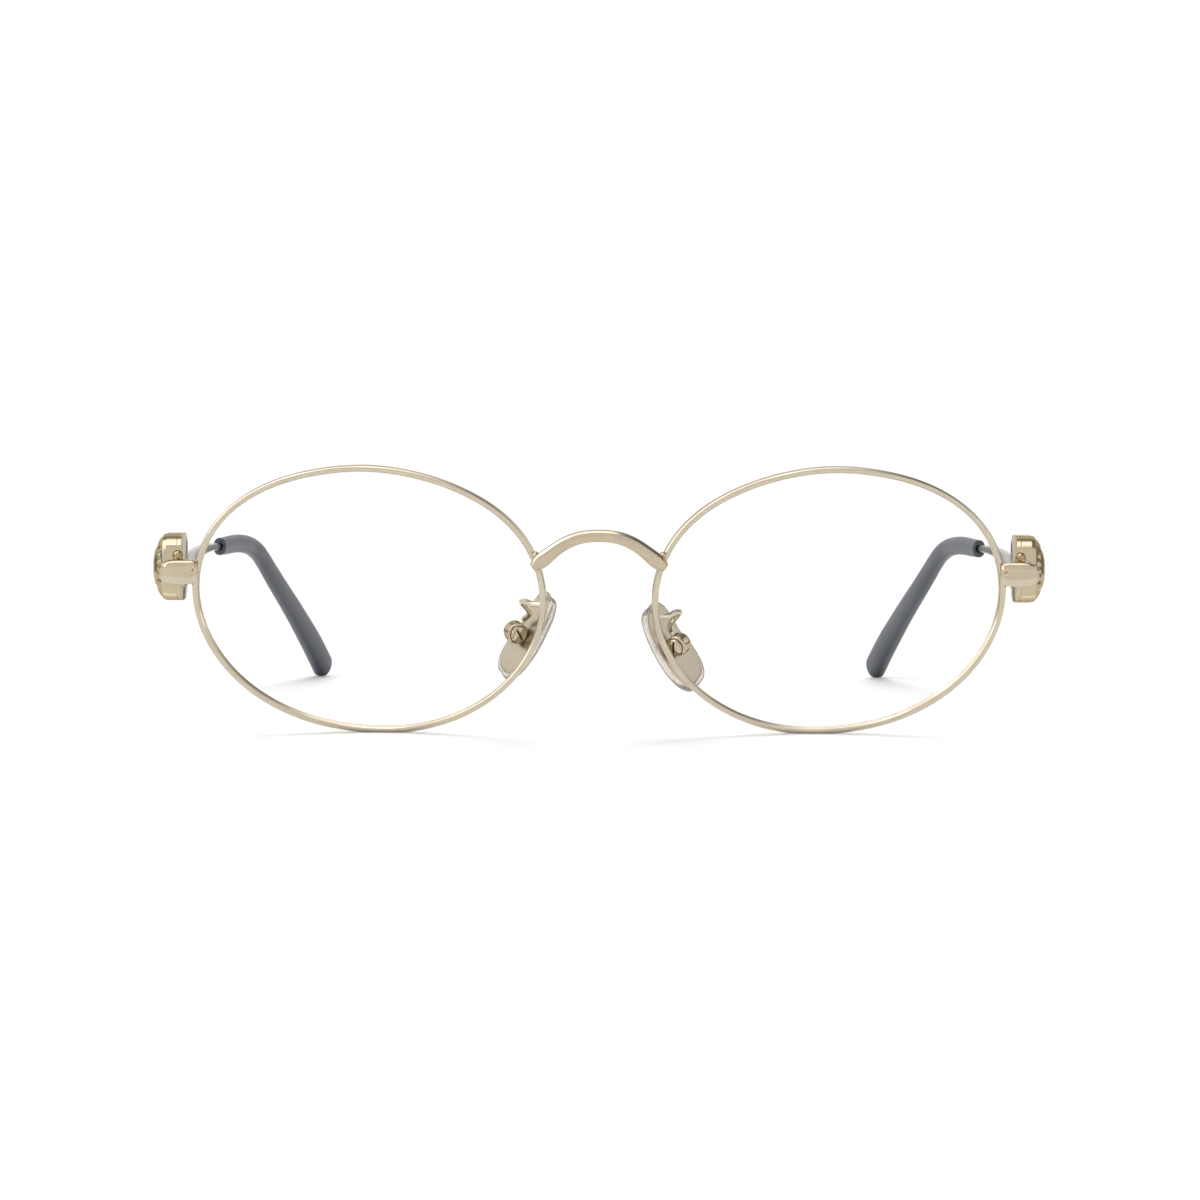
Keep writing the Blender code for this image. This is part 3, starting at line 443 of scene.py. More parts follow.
def smooth_path(points, n):
    pts = [np.array(p, float) for p in points]
    ext = [2 * pts[0] - pts[1]] + pts + [2 * pts[-1] - pts[-2]]
    fine = []
    for k in range(1, len(ext) - 2):
        p0, p1, p2, p3 = ext[k - 1:k + 3]
        t = [0.0]
        for a, b in ((p0, p1), (p1, p2), (p2, p3)):
            t.append(t[-1] + max(np.linalg.norm(b - a), 1e-9) ** 0.5)
        for s in np.linspace(t[1], t[2], 40, endpoint=False):
            a1 = (t[1] - s) / (t[1] - t[0]) * p0 + (s - t[0]) / (t[1] - t[0]) * p1
            a2 = (t[2] - s) / (t[2] - t[1]) * p1 + (s - t[1]) / (t[2] - t[1]) * p2
            a3 = (t[3] - s) / (t[3] - t[2]) * p2 + (s - t[2]) / (t[3] - t[2]) * p3
            b1 = (t[2] - s) / (t[2] - t[0]) * a1 + (s - t[0]) / (t[2] - t[0]) * a2
            b2 = (t[3] - s) / (t[3] - t[1]) * a2 + (s - t[1]) / (t[3] - t[1]) * a3
            fine.append((t[2] - s) / (t[2] - t[1]) * b1 + (s - t[1]) / (t[2] - t[1]) * b2)
    fine.append(pts[-1])
    fine = np.array(fine)
    d = np.r_[0, np.cumsum(np.linalg.norm(np.diff(fine, axis=0), axis=1))]
    want = np.linspace(0, d[-1], n)
    return np.array([[np.interp(w, d, fine[:, k]) for k in range(3)] for w in want]), d[-1]


def tangents(path):
    t = np.gradient(path, axis=0)
    return t / np.linalg.norm(t, axis=1)[:, None]


def eased(x, xs, ys, width):
    """Linear interpolation with its corners eased over a width."""
    return float(np.mean([np.interp(x + width * k / 6, xs, ys) for k in range(-6, 7)]))


def spoke_radius(spokes, phi):
    n = len(spokes)
    v = np.array(spokes)
    h = 2 * math.pi / n
    a = np.zeros((n, n))
    b = np.zeros(n)
    for i in range(n):
        a[i, (i - 1) % n], a[i, i], a[i, (i + 1) % n] = 1, 4, 1
        b[i] = 3 * (v[(i + 1) % n] - v[(i - 1) % n]) / h
    m = np.linalg.solve(a, b)
    phi = np.mod(phi, 2 * math.pi)
    i = np.floor(phi / h).astype(int) % n
    t = phi / h - np.floor(phi / h)
    j = (i + 1) % n
    return ((2 * t**3 - 3 * t**2 + 1) * v[i] + (t**3 - 2 * t**2 + t) * m[i] * h
            + (-2 * t**3 + 3 * t**2) * v[j] + (t**3 - t**2) * m[j] * h)


# ================================================================ eyewires
def raw_front(x, z):
    u, v = abs(x) - FORM_X, z - FORM_Z
    return (u * u + v * v) / (2 * BASE_RADIUS) + u * math.tan(WRAP) - v * math.tan(TILT)


def front_y(x, z):
    return raw_front(x, z) - raw_front(LUG_X, LUG_Z)


LENS_AXIS = np.array([-math.tan(WRAP), 1.0, math.tan(TILT)])
LENS_AXIS /= np.linalg.norm(LENS_AXIS)


def eyewire_stations(count):
    phi = np.linspace(0, 2 * math.pi, 2881)
    r = spoke_radius(TRACE, phi)
    x, z = LENS_X + r * np.cos(phi), LENS_Z + r * np.sin(phi)
    d = np.r_[0, np.cumsum(np.hypot(np.diff(x), np.diff(z)))]
    up = np.interp(SPLIT_Z + SPLIT / 2, z[:400], d[:400])
    low = np.interp(SPLIT_Z - SPLIT / 2, z[:400], d[:400]) + d[-1]
    s = np.linspace(up, low, count)
    xs = np.interp(np.mod(s, d[-1]), d, x)
    zs = np.interp(np.mod(s, d[-1]), d, z)
    e = 0.12
    dx = np.interp(np.mod(s + e, d[-1]), d, x) - np.interp(np.mod(s - e, d[-1]), d, x)
    dz = np.interp(np.mod(s + e, d[-1]), d, z) - np.interp(np.mod(s - e, d[-1]), d, z)
    out = []
    for px, pz, tx, tz in zip(xs, zs, dx, dz):
        t = np.array([tx, 0.0, tz])
        a = LENS_AXIS
        t -= a * (a @ t)
        t /= np.linalg.norm(t)
        o = np.cross(a, t)
        o /= np.linalg.norm(o)
        if o[0] * (px - LENS_X) + o[2] * (pz - LENS_Z) < 0:
            o = -o
        out.append((np.array([px, front_y(px, pz), pz]), o, a))
    return out


WIRE_CORE = rounded(
    [(0.40, 0.17), (WIRE_R, 0.32), (WIRE_R, WIRE_D), (-WIRE_R, WIRE_D), (-WIRE_R, WIRE_D / 2 + 0.36), (-WIRE_R + GROOVE, WIRE_D / 2),
     (-WIRE_R, WIRE_D / 2 - 0.36), (-WIRE_R, 0.29), (-0.40, 0.15), (-0.23, 0.02), (0.0, 0.0), (0.22, 0.02)],
    [0.08, 0.10, 0.28, 0.14, 0.05, 0.05, 0.05, 0.10, 0.08, 0.30, 0.60, 0.30], 4)


def eyewire(side):
    s = SIDES[side]
    rings = []
    for c, o, a in eyewire_stations(420):
        rings.append([Vector((s * p[0], p[1], p[2])) for p in (c + o * u + a * v for u, v in WIRE_CORE)])
    # the eyewire in the paler gold: painted light
    return make(f"eyewire_{side}", loft(rings), RIM_GOLD_LIT, keep_ground=True, foot=0.15)


# ================================================================ bridge
BRIDGE_LINE = [(0.0, 30.75), (2.2, 30.60), (4.2, 30.05), (6.1, 29.05), (7.7, 27.80), (9.0, 26.75), (9.85, 26.15), (10.35, 25.85)]
BRIDGE_WIDTH = [1.88, 1.90, 1.96, 2.02, 2.20, 2.50, 2.20, 1.10]
BRIDGE_DEPTH = 1.35


def bridge_back(x, z):
    d = abs(x) - 8.0
    a = 8.0 + 0.5 * (d + math.sqrt(d * d + 12.0))
    return front_y(a, z) - 0.09 - 0.41 / (1 + (abs(x) / 5.5) ** 4)


def bridge(count=81):
    pts, length = smooth_path([(p[0], w, p[1]) for p, w in zip(BRIDGE_LINE, BRIDGE_WIDTH)], 400)
    dd = np.r_[0, np.cumsum(np.hypot(np.diff(pts[:, 0]), np.diff(pts[:, 2])))]
    want = np.linspace(0, dd[-1], count)
    half = [(np.interp(w, dd, pts[:, 0]), np.interp(w, dd, pts[:, 2]), np.interp(w, dd, pts[:, 1])) for w in want]
    full = np.array([(-x, z, w) for x, z, w in reversed(half[1:])] + half)
    for sweep in range(60):                      # evens out the joints between the spline's spans
        full[1:-1] = 0.25 * full[:-2] + 0.5 * full[1:-1] + 0.25 * full[2:]
    p2 = full[:, :2]
    t = np.gradient(p2, axis=0)
    t /= np.linalg.norm(t, axis=1)[:, None]
    rings = []
    for (x, z, w), (tx, tz) in zip(full, t):
        nx, nz = -tz, tx
        h = w / 2
        prof = rounded([(h - 0.46, 0.0), (h - 0.12, 0.34), (h, 0.53), (h, BRIDGE_DEPTH), (-h, BRIDGE_DEPTH), (-h, 0.30), (-h + 0.10, 0.13), (-h + 0.25, 0.0)],
                       [0.08, 0.08, 0.14, 0.12, 0.12, 0.14, 0.08, 0.1], 4)
        ring = []
        for u, v in prof:
            px, pz = x + nx * u, z + nz * u
            y = bridge_back(px, pz) - BRIDGE_DEPTH + v
            ring.append(Vector((px, y, pz)))
        rings.append(ring)
    return make("bridge", loft(rings), GOLD, smooth=50)


def notch():
    """Where the bridge's upper edge meets the outside of the eyewire (+X side)."""
    pts, length = smooth_path([(p[0], w, p[1]) for p, w in zip(BRIDGE_LINE, BRIDGE_WIDTH)], 400)
    t = np.gradient(pts[:, [0, 2]], axis=0)
    t /= np.linalg.norm(t, axis=1)[:, None]
    edge = pts[:, [0, 2]] + np.stack([-t[:, 1], t[:, 0]], 1) * pts[:, 1:2] / 2
    rim = np.array([(st[0] + st[1] * WIRE_R)[[0, 2]] for st in eyewire_stations(420) if st[0][0] < LENS_X - 15])
    gap = np.linalg.norm(edge[:, None, :] - rim[None, :, :], axis=2)
    i, j = np.unravel_index(int(np.argmin(gap)), gap.shape)
    return tuple((edge[i] + rim[j]) / 2)


def fillet(node, at, axes, name, mat=None):
    """A solder fillet: a small smooth bead flowed into a corner."""
    bm = bmesh.new()
    bmesh.ops.create_icosphere(bm, subdivisions=4, radius=1.0)
    m = Matrix([[*v, 0.0] for v in axes] + [[0, 0, 0, 1]]).transposed()
    for v in bm.verts:
        v.co = m @ v.co + Vector(at)
    return make(node, bm, mat or GOLD, replaces=False, name=name)


# ================================================================ end piece, rim lock
LUG_BACK, LUG_T, LUG_END_Y, LUG_OUT, LUG_H = -0.24, 1.10, 4.98, 68.35, 3.70


def end_piece(side):
    """Pebble-like lug: crowned front plate, rounded inner end, spherical bend into a lower return leg."""
    s = SIDES[side]
    mid = LUG_T / 2
    yf = LUG_BACK - mid
    xo = LUG_OUT - mid
    r = 1.35
    line = [(62.15 + 1.2 * (k / 20) ** 1.6, yf) for k in range(0, 21)] + [(63.4 + 0.2 * k, yf) for k in range(0, 30)]
    line = [p for p in line if p[0] < xo - r - 0.05] + [(xo - r, yf)]
    for k in range(1, 29):
        a = math.pi / 2 * k / 28
        line.append((xo - r + r * math.sin(a), yf + r - r * math.cos(a)))
    line += [(xo, y) for y in np.linspace(yf + r + 0.2, LUG_END_Y, 16)]
    p = np.array(line)
    t = np.gradient(p, axis=0)
    t /= np.linalg.norm(t, axis=1)[:, None]
    run = np.r_[0, np.cumsum(np.linalg.norm(np.diff(p, axis=0), axis=1))]
    bend0 = xo - r - 62.15                          # run at which the bend starts
    rings = []
    for (x, y), (tx, ty), q in zip(line, t, run):
        ox, oy = ty, -tx
        lead = min(q / 1.15, 1.0)                   # the inner end is rounded in outline and in thickness
        ease = math.sqrt(max(1 - (1 - lead) ** 2, 0.0))
        drop = 0.5 - 0.5 * math.cos(math.pi * min(max((q - bend0 + 1.0) / 3.0, 0.0), 1.0))
        top = LUG_H / 2 * (0.66 + 0.34 * ease) * (1 - 0.20 * drop)
        low = LUG_H / 2 * (0.50 + 0.50 * ease) * (1 - 0.20 * drop)
        e = mid * (0.50 + 0.50 * ease)
        if y > 4.3:
            g = (y - 4.3) / (LUG_END_Y - 4.3)
            top -= 0.10 * g
            low -= 0.10 * g
            e -= 0.05 * g * g
        prof = rounded([(-mid, top), (e - 0.44, top), (e - 0.30, top - 0.09), (e - 0.10, top - 0.32), (e, top - 0.80), (e - 0.06, -low + 1.15), (e - 0.46, -low), (-mid, -low)],
                       [0.12, 0.08, 0.12, 0.30, 1.2, 0.6, 0.22, 0.12], 6)
        a, b = prof[34], prof[35]                   # closer rows across the front face
        prof[35:35] = [(a[0] + (b[0] - a[0]) * k / 15, a[1] + (b[1] - a[1]) * k / 15) for k in range(1, 15)]
        ring = []
        for o, v in prof:
            out = o
            if o > 0 and y < 0:       # the swell where the lug was soldered and dressed, and the nick beside it
                g = math.exp(-((x - 62.66) / 0.24) ** 2 - ((v - 0.50) / 0.50) ** 2)
                d = math.exp(-((x - 63.02) / 0.15) ** 2 - ((v - 0.25) / 0.46) ** 2)
                out += 0.22 * g - 0.22 * d
            ring.append(Vector((s * (x + ox * out), y + oy * out, SPLIT_Z + v)))
        rings.append(ring)
    ob = make(f"end_piece_{side}", loft(rings), GOLD, smooth=50)
    paint_highlight_rows(ob, len(rings[0]), range(54, 60))        # the lower corner, painted brighter as a highlight
    return ob


LOCK_X, LOCK_FRONT, LOCK_BACK = 66.15, -0.19, 2.05
LOCK_TOP, LOCK_BOTTOM = 26.45, 23.05
LOCK_SCREW = (64.75, 0.95)
LOCK_PIN_R, LOCK_BORE_R = 0.55, 0.60


def wire_outer_x(z, y, stations):
    near = [st for st in stations if st[0][0] > LENS_X + 18 and abs(st[0][2] - z) < 6]
    near.sort(key=lambda st: st[0][2])
    xs, zs = [], []
    for c, o, a in near:
        k = (y - c[1] - o[1] * WIRE_R) / a[1]
        p = c + o * WIRE_R + a * min(max(k, 0.0), WIRE_D)
        xs.append(p[0])
        zs.append(p[2])
    return float(np.interp(z, zs, xs))


LOCK_STATIONS = eyewire_stations(84)


def rim_lock(side, which):
    s = SIDES[side]
    zs = np.linspace(SPLIT_Z + SPLIT / 2, LOCK_TOP, 8) if which == "upper" else np.linspace(LOCK_BOTTOM, SPLIT_Z - SPLIT / 2, 8)
    bm = bmesh.new()
    outer, holes = [], []
    for z in zs:
        xf = wire_outer_x(z, LOCK_FRONT, LOCK_STATIONS) + 0.05
        xb = wire_outer_x(z, LOCK_BACK, LOCK_STATIONS) + 0.05
        out = rounded([(xf, LOCK_FRONT), (LOCK_X, LOCK_FRONT), (LOCK_X, LOCK_BACK), (xb, LOCK_BACK)], [0.02, 0.35, 0.6, 0.02], 6)
        outer.append([bm.verts.new((s * x, y, z)) for x, y in out])
        holes.append([bm.verts.new((s * x, y, z)) for x, y in circle(LOCK_BORE_R, 32, *LOCK_SCREW)])
    for row in (outer, holes):
        for a, b in zip(row, row[1:]):
            for i in range(len(a)):
                j = (i + 1) % len(a)
                bm.faces.new((a[i], a[j], b[j], b[i]))
    for k in (0, -1):
        cap_region(bm, [outer[k], holes[k]])
    return make(f"rim_lock_{which}_{side}", bm, GOLD, bevel=0.07)


def slotted(ob, centre, along, across, depth_dir, half_width, depth, length):
    """Cuts a driver slot into a screw head: an exact cut, applied at once."""
    c = bmesh.new()
    bmesh.ops.create_cube(c, size=1.0)
    a, b, d = (Vector(v).normalized() for v in (along, across, depth_dir))
    m = Matrix((a * length, b * half_width * 2, d * depth * 2)).transposed().to_4x4()
    for v in c.verts:
        v.co = Vector(centre) + m @ v.co
    cut_away(ob, c, 30)


def cut_away(ob, c, smooth):
    """Takes a closed shape away from a piece, once and for all."""
    for v in c.verts:
        v.co = place(v.co)
    bmesh.ops.recalc_face_normals(c, faces=c.faces)
    me = bpy.data.meshes.new("slot_cut")
    c.to_mesh(me)
    c.free()
    if len(ob.data.materials) < 2:
        ob.data.materials.append(RECESS_SHADE)             # the cut is rougher than the polished face, and painted dark as shade in the recess
    me.materials.append(RECESS_SHADE)
    me.materials.append(RECESS_SHADE)
    for f in me.polygons:
        f.material_index = 1
    tool = bpy.data.objects.new("slot_cut", me)
    COLLECTION.objects.link(tool)
    mod = ob.modifiers.new("slot", "BOOLEAN")
    mod.operation = "DIFFERENCE"
    mod.solver = "EXACT"
    mod.object = tool
    bpy.context.view_layer.update()
    shown = ob.evaluated_get(bpy.context.evaluated_depsgraph_get())
    cut = bpy.data.meshes.new_from_object(shown)
    ob.modifiers.remove(mod)
    old = ob.data
    name = old.name
    ob.data = cut
    bpy.data.meshes.remove(old)
    cut.name = name
    bpy.data.objects.remove(tool)
    bpy.data.meshes.remove(me)
    cut.shade_smooth()
    cut.set_sharp_from_angle(angle=math.radians(smooth))


def rim_lock_screw(side):
    s = SIDES[side]

    def w(a, b, h):
        return Vector((s * (LOCK_SCREW[0] + a), LOCK_SCREW[1] + b, h))

    prof = [(0, 22.52)] + [(x, h) for x, h in rounded([(0.60, 22.52), (0.85, 22.60), (0.85, 23.01)], [0.0, 0.14, 0.0], 5, closed=False)]
    prof += [(LOCK_PIN_R, 23.01), (LOCK_PIN_R, 26.32), (0.42, 26.42), (0, 26.42)]
    ob = make(f"rim_lock_screw_{side}", turned(prof, 40, w), GOLD)
    slotted(ob, w(0, 0, 22.52), (0.6, 1, 0), (1, -0.6, 0), (0, 0, 1), 0.11, 0.24, 2.4)
    return ob


# ================================================================ hinges
Z0, Z3 = HINGE_Z - HINGE_H / 2, HINGE_Z + HINGE_H / 2
Z1, Z2 = HINGE_Z - 0.62, HINGE_Z + 0.62
HINGE_GAP = 0.04


def hinge_front(side):
    s = SIDES[side]
    inner = LUG_OUT - LUG_T - 0.05 - HINGE_X
    base = [(1.22, -1.10), (inner, -1.10), (inner, 1.10), (1.22, 1.10)]
    ear = [(0.9, 1.10)] + arc(KNUCKLE_R, 82, 278, 40) + [(0.9, -1.10)]

    def w(a, b, z):
        return Vector((s * (HINGE_X + a), HINGE_Y + b, z))

    bm = leaf_solid(base, ear, circle(HINGE_FIX_R, 40), [Z0, Z1, Z2, Z3], [True, False, True], w)
    return make(f"hinge_front_{side}", bm, GOLD, bevel=0.05)


ARM_IN, LOBE_T = 65.20, 0.75
LOBE_Y, LOBE_Z, LOBE_RY, LOBE_RZ = 11.30, 25.20, 6.22, 5.30


def hinge_temple(side):
    s = SIDES[side]
    xi = ARM_IN - 0.05 - HINGE_X
    xo = xi - 0.50
    y0, y1 = 1.42, 5.9
    base = [(xo, y0), (xo, y1 - 0.35), (xo + 0.12, y1), (xi, y1), (xi, y0)]
    ear = [(xi, 1.17)] + arc(KNUCKLE_R, 84, -160, 44) + [(xo + 0.05, 0.55)]

    def w(a, b, z):
        return Vector((s * (HINGE_X + a), HINGE_Y + b, z))

    bm = leaf_solid(base, ear, circle(HINGE_BORE_R, 40), [Z0 + 0.1, Z1 + HINGE_GAP, Z2 - HINGE_GAP, Z3 - 0.1], [False, True, False], w)
    return make(f"hinge_temple_{side}", bm, ORNAMENT, bevel=0.05)


def hinge_screw(side):
    s = SIDES[side]

    def w(a, b, h):
        return Vector((s * (HINGE_X + a), HINGE_Y + b, h))

    top = Z3 + 0.04
    r = HINGE_HEAD_R
    prof = [(0, Z0 - 0.16), (0.36, Z0 - 0.16), (0.44, Z0 - 0.12), (HINGE_PIN_R, Z0), (HINGE_PIN_R, top)]
    prof += rounded([(r * 0.90, top), (r, top + 0.10), (r, top + 0.75)], [0, 0.08, 0], 4, closed=False)[:-1]
    for k in range(0, 20):
        a = math.pi / 2 * k / 20
        prof.append((r * math.cos(a), top + 0.75 + r * math.sin(a)))
    prof.append((0, top + 0.75 + r))
    # the hinge screw in the darker gold: painted shade
    ob = make(f"hinge_screw_{side}", turned(prof, 48, w), SCREW_GOLD_SHADED, smooth=40)
    slotted(ob, w(0, 0, Z0 - 0.16), (1, 0.4, 0), (-0.4, 1, 0), (0, 0, 1), 0.10, 0.14, 2.0)
    return ob


# ================================================================ temples
MOUTH_Y = 78.5
TEMPLE_LINE = [(65.5, 20.0, 26.0), (65.5, 40.0, 26.35), (65.45, 60.0, 26.3), (65.25, 72.0, 26.05),
               (65.0, 78.5, 25.85), (64.4, 82.5, 25.85), (63.6, 87.0, 25.95), (62.6, 92.0, 25.9),
               (61.3, 98.0, 25.3), (60.2, 102.0, 24.1), (59.35, 105.5, 22.4), (58.6, 108.7, 20.6),
               (57.0, 115.0, 16.95), (55.5, 121.0, 13.6), (53.9, 127.3, 9.85), (52.35, 133.0, 6.1),
               (50.85, 138.45, 2.1)]
BAR = [(17.5, 1.15), (20.5, 1.10), (27.0, 1.05), (35.0, 0.98), (44.0, 0.90), (53.0, 0.82), (62.0, 0.73),
       (70.0, 0.65), (75.5, 0.60)]
CORE_R = 0.52
TEMPLE_PTS, TEMPLE_LEN = smooth_path(TEMPLE_LINE, 400)
TEMPLE_S = np.linspace(0, TEMPLE_LEN, 400)
TEMPLE_TAN = tangents(TEMPLE_PTS)
MOUTH_S = float(np.interp(MOUTH_Y, TEMPLE_PTS[:, 1], TEMPLE_S))


def temple_frame(s):
    p = np.array([np.interp(s, TEMPLE_S, TEMPLE_PTS[:, k]) for k in range(3)])
    t = np.array([np.interp(s, TEMPLE_S, TEMPLE_TAN[:, k]) for k in range(3)])
    t /= np.linalg.norm(t)
    side = np.cross(t, (0, 0, 1.0))
    side /= np.linalg.norm(side)
    return p, t, side, np.cross(side, t)


def superellipse(n, ry, rz, p):
    out = []
    for i in range(n):
        a = 2 * math.pi * i / n
        c, q = math.cos(a), math.sin(a)
        k = (abs(c) ** p + abs(q) ** p) ** (-1 / p)
        out.append((ry * k * c, rz * k * q))
    return out


def lobe_half(y):
    q = 1 - abs((y - LOBE_Y) / LOBE_RY) ** 3.6
    return LOBE_RZ * max(q, 0.0) ** (1 / 3.6)


def soft_rect(half_t, half_h, r, seg=5):
    return rounded([(half_t, half_h), (-half_t, half_h), (-half_t, -half_h), (half_t, -half_h)], r, seg)


def temple_arm(side):
    s = SIDES[side]
    rings = []
    ys = list(5.10 + 1.5 * np.linspace(0, 1, 12) ** 1.6) + list(np.linspace(7.0, 15.4, 14)) + list(np.linspace(15.6, 17.5, 14))
    for y in ys:
        top, low = LOBE_Z + lobe_half(y), LOBE_Z - lobe_half(y)
        if y > 15:
            top = max(top, TEMPLE_LINE[0][2] + BAR[0][1])
            low = min(low, TEMPLE_LINE[0][2] - BAR[0][1])
        half_t = LOBE_T / 2
        rings.append([(ARM_IN + half_t + a, y, (top + low) / 2 + b) for a, b in soft_rect(half_t, (top - low) / 2, 0.09)])
    for y in np.linspace(18.2, 75.5, 60):
        p = temple_frame(float(np.interp(y, TEMPLE_PTS[:, 1], TEMPLE_S)))[0]
        h = eased(y, [b[0] for b in BAR], [b[1] for b in BAR], 3.0)
        t = eased(y, [17.5, 20.5, 27.0, 80.0], [0.40, 0.50, 0.56, 0.56], 1.5)
        x = eased(y, [17.5, 20.5, 90.0], [ARM_IN + LOBE_T / 2, p[0], p[0]], 1.0)
        z = eased(y, [17.5, 20.5, 90.0], [TEMPLE_LINE[0][2], p[2], p[2]], 1.0)
        rings.append([(x + a, y, z + b) for a, b in soft_rect(t, h, min(t, h) * 0.62)])
    for q in np.linspace(MOUTH_S - 1.2, TEMPLE_LEN - 9.0, 80):
        p, t, sd, up = temple_frame(q)
        rings.append([tuple(p + sd * a + up * b) for a, b in soft_rect(CORE_R, CORE_R, CORE_R)])
    out = [[Vector((s * v[0], v[1], v[2])) for v in r] for r in rings]
    ob = make(f"temple_arm_{side}", loft(out), PALE, smooth=50)
    ob.data.materials.append(ORNAMENT)            # the lobe is plated like the medallion on it
    lobe_faces = (len(ys) - 1) * len(out[0])
    front_cap = len(ob.data.polygons) - 2
    for f in ob.data.polygons:
        f.material_index = 1 if f.index < lobe_faces or f.index == front_cap else 0
    return ob


# outline scale k against x: wall, shoulder and stepped crown
CROWN = [(65.955, 0.95), (65.955, 1.0), (67.55, 1.0), (68.16, 0.975), (68.34, 0.93), (68.80, 0.84), (69.12, 0.735),
         (69.14, 0.655), (69.62, 0.52), (69.93, 0.30), (70.05, 0.10)]
CROWN_R = [0.0, 0.03, 0.8, 0.18, 0.15, 0.3, 0.07, 0.06, 0.5, 0.4, 0.0]


def medallion(side):
    """Cushion-shaped medallion: a stepped crown with a fluted shoulder."""
    s = SIDES[side]
    n = 336
    scale = (LOBE_RY + LOBE_RZ) / 2
    line = rounded([(x, k * scale) for x, k in CROWN], CROWN_R, 5, closed=False)
    fine = []
    for a, b in zip(line, line[1:]):
        steps = max(1, int(math.hypot(b[0] - a[0], b[1] - a[1]) / 0.14))
        fine += [(a[0] + (b[0] - a[0]) * i / steps, a[1] + (b[1] - a[1]) * i / steps) for i in range(steps)]
    fine.append(line[-1])
    rings = []
    outline = np.array(superellipse(2400, LOBE_RY, LOBE_RZ, 3.6))
    outline = np.vstack([outline, outline[:1]])
    along = np.concatenate([[0.0], np.cumsum(np.hypot(*np.diff(outline, axis=0).T))])
    even = np.arange(n) / n * along[-1]                        # evenly spaced, so that the flutes are alike
    base = list(zip(np.interp(even, along, outline[:, 0]), np.interp(even, along, outline[:, 1])))
    for x, r in fine:
        k = r / scale
        ring = []
        for i, (y, z) in enumerate(base):
            dx = 0.0
            if 68.3 < x < 69.13 and 0.735 < k < 0.93:          # shoulder flutes
                w = math.sin(math.pi * (k - 0.735) / 0.195) ** 0.8
                dx = -0.13 * w * (0.5 - 0.5 * math.cos(2 * math.pi * 28 * i / n))
            ring.append(Vector((s * (x + dx), LOBE_Y + y * k, LOBE_Z + z * k)))
        rings.append(ring)
    return make(f"medallion_{side}", loft(rings), ORNAMENT, smooth=32)


TIP_SHARE = [0.0, 0.015, 0.10, 0.28, 0.42, 0.58, 0.75, 0.90, 1.0]
TIP_HALF_H = [1.30, 1.50, 1.55, 1.58, 1.68, 1.90, 2.18, 2.42, 2.42]
TIP_HALF_T = [0.95, 1.12, 1.22, 1.28, 1.32, 1.38, 1.50, 1.68, 1.74]
TIP_END = 1.75
TIP_BORE = CORE_R * 1.08 + 0.07


def temple_tip(side):
    s = SIDES[side]
    start, end = MOUTH_S, TEMPLE_LEN
    span = end - start
    n = 64

    def ring(q, hh, ht, p=2.25, round_hole=False):
        c, t, sd, up = temple_frame(min(max(q, 0), TEMPLE_LEN))
        c = c + t * max(q - TEMPLE_LEN, 0.0)
        pts = []
        for i in range(n):
            a = 2 * math.pi * (i + 0.5) / n
            co, si = math.cos(a), math.sin(a)
            k = 1.0 if round_hole else (abs(co) ** p + abs(si) ** p) ** (-1 / p)
            v = c + sd * (ht * k * co) + up * (hh * k * si)
            pts.append(Vector((s * v[0], v[1], v[2])))
        return pts

    rings = []
    lip = 0.42                                   # rounded lip of the mouth
    hh0, ht0 = TIP_HALF_H[1], TIP_HALF_T[1]
    b = TIP_BORE + 0.02
    inner = [ring(start + lip * 0.9 + f * (span - 9.2), b, b, round_hole=True) for f in np.linspace(1, 0, 30)]
    inner += [ring(start + 0.30, b - 0.04, b - 0.04, round_hole=True), ring(start + 0.06, b - 0.03, b - 0.03, round_hole=True),
              ring(start + 0.0, b + 0.03, b + 0.03, 2.2)]
    for a in np.linspace(0, 90, 8):
        c, d = math.sin(math.radians(a)), 1 - math.cos(math.radians(a))
        rings.append(ring(start + lip * d, hh0 - lip * (1 - c), ht0 - lip * 0.8 * (1 - c)))
    for f in np.linspace(0.03, 1.0, 110):
        hh = eased(f, TIP_SHARE, TIP_HALF_H, 0.04)
        ht = eased(f, TIP_SHARE, TIP_HALF_T, 0.04)
        rings.append(ring(start + f * span, hh, ht))
    hh = eased(1.0, TIP_SHARE, TIP_HALF_H, 0.04)
    ht = eased(1.0, TIP_SHARE, TIP_HALF_T, 0.04)
    for a in np.linspace(6, 86, 16):
        c = math.cos(math.radians(a))
        rings.append(ring(end + TIP_END * math.sin(math.radians(a)), hh * c, ht * c, 2.3))
    bm = bmesh.new()
    vs = [[bm.verts.new(p) for p in r] for r in inner + rings]
    for a, c in zip(vs, vs[1:]):
        for i in range(n):
            j = (i + 1) % n
            bm.faces.new((a[i], a[j], c[j], c[i]))
    bm.faces.new(vs[0])
    bm.faces.new(vs[-1])
    return make(f"temple_tip_{side}", bm, SLATE, smooth=60, keep_ground=True, foot=0.2)


# ================================================================ nose pads
PAD_HALF_L, PAD_HALF_W = 7.6, 4.2
PAD_SHAPE = [0.69, 0.93, 0.80, 0.95, 1.11, 1.35, 1.13, 1.13]
PAD_OUT, PAD_PLATE_T = 1.35, 1.20
BOX_W, BOX_R, BOX_SLOT = 1.00, 1.70, 0.54
ARM_WIRE = 0.44


def pad_outline(side, k, n=160):
    du, dv = PADS[side]["shift"]
    phi = np.linspace(0, 2 * math.pi, n, endpoint=False)
    r = spoke_radius(PAD_SHAPE, phi) * k
    return [(du + PAD_HALF_W * ri * math.cos(p), dv + PAD_HALF_L * ri * math.sin(p))
            for ri, p in zip(r, phi)]


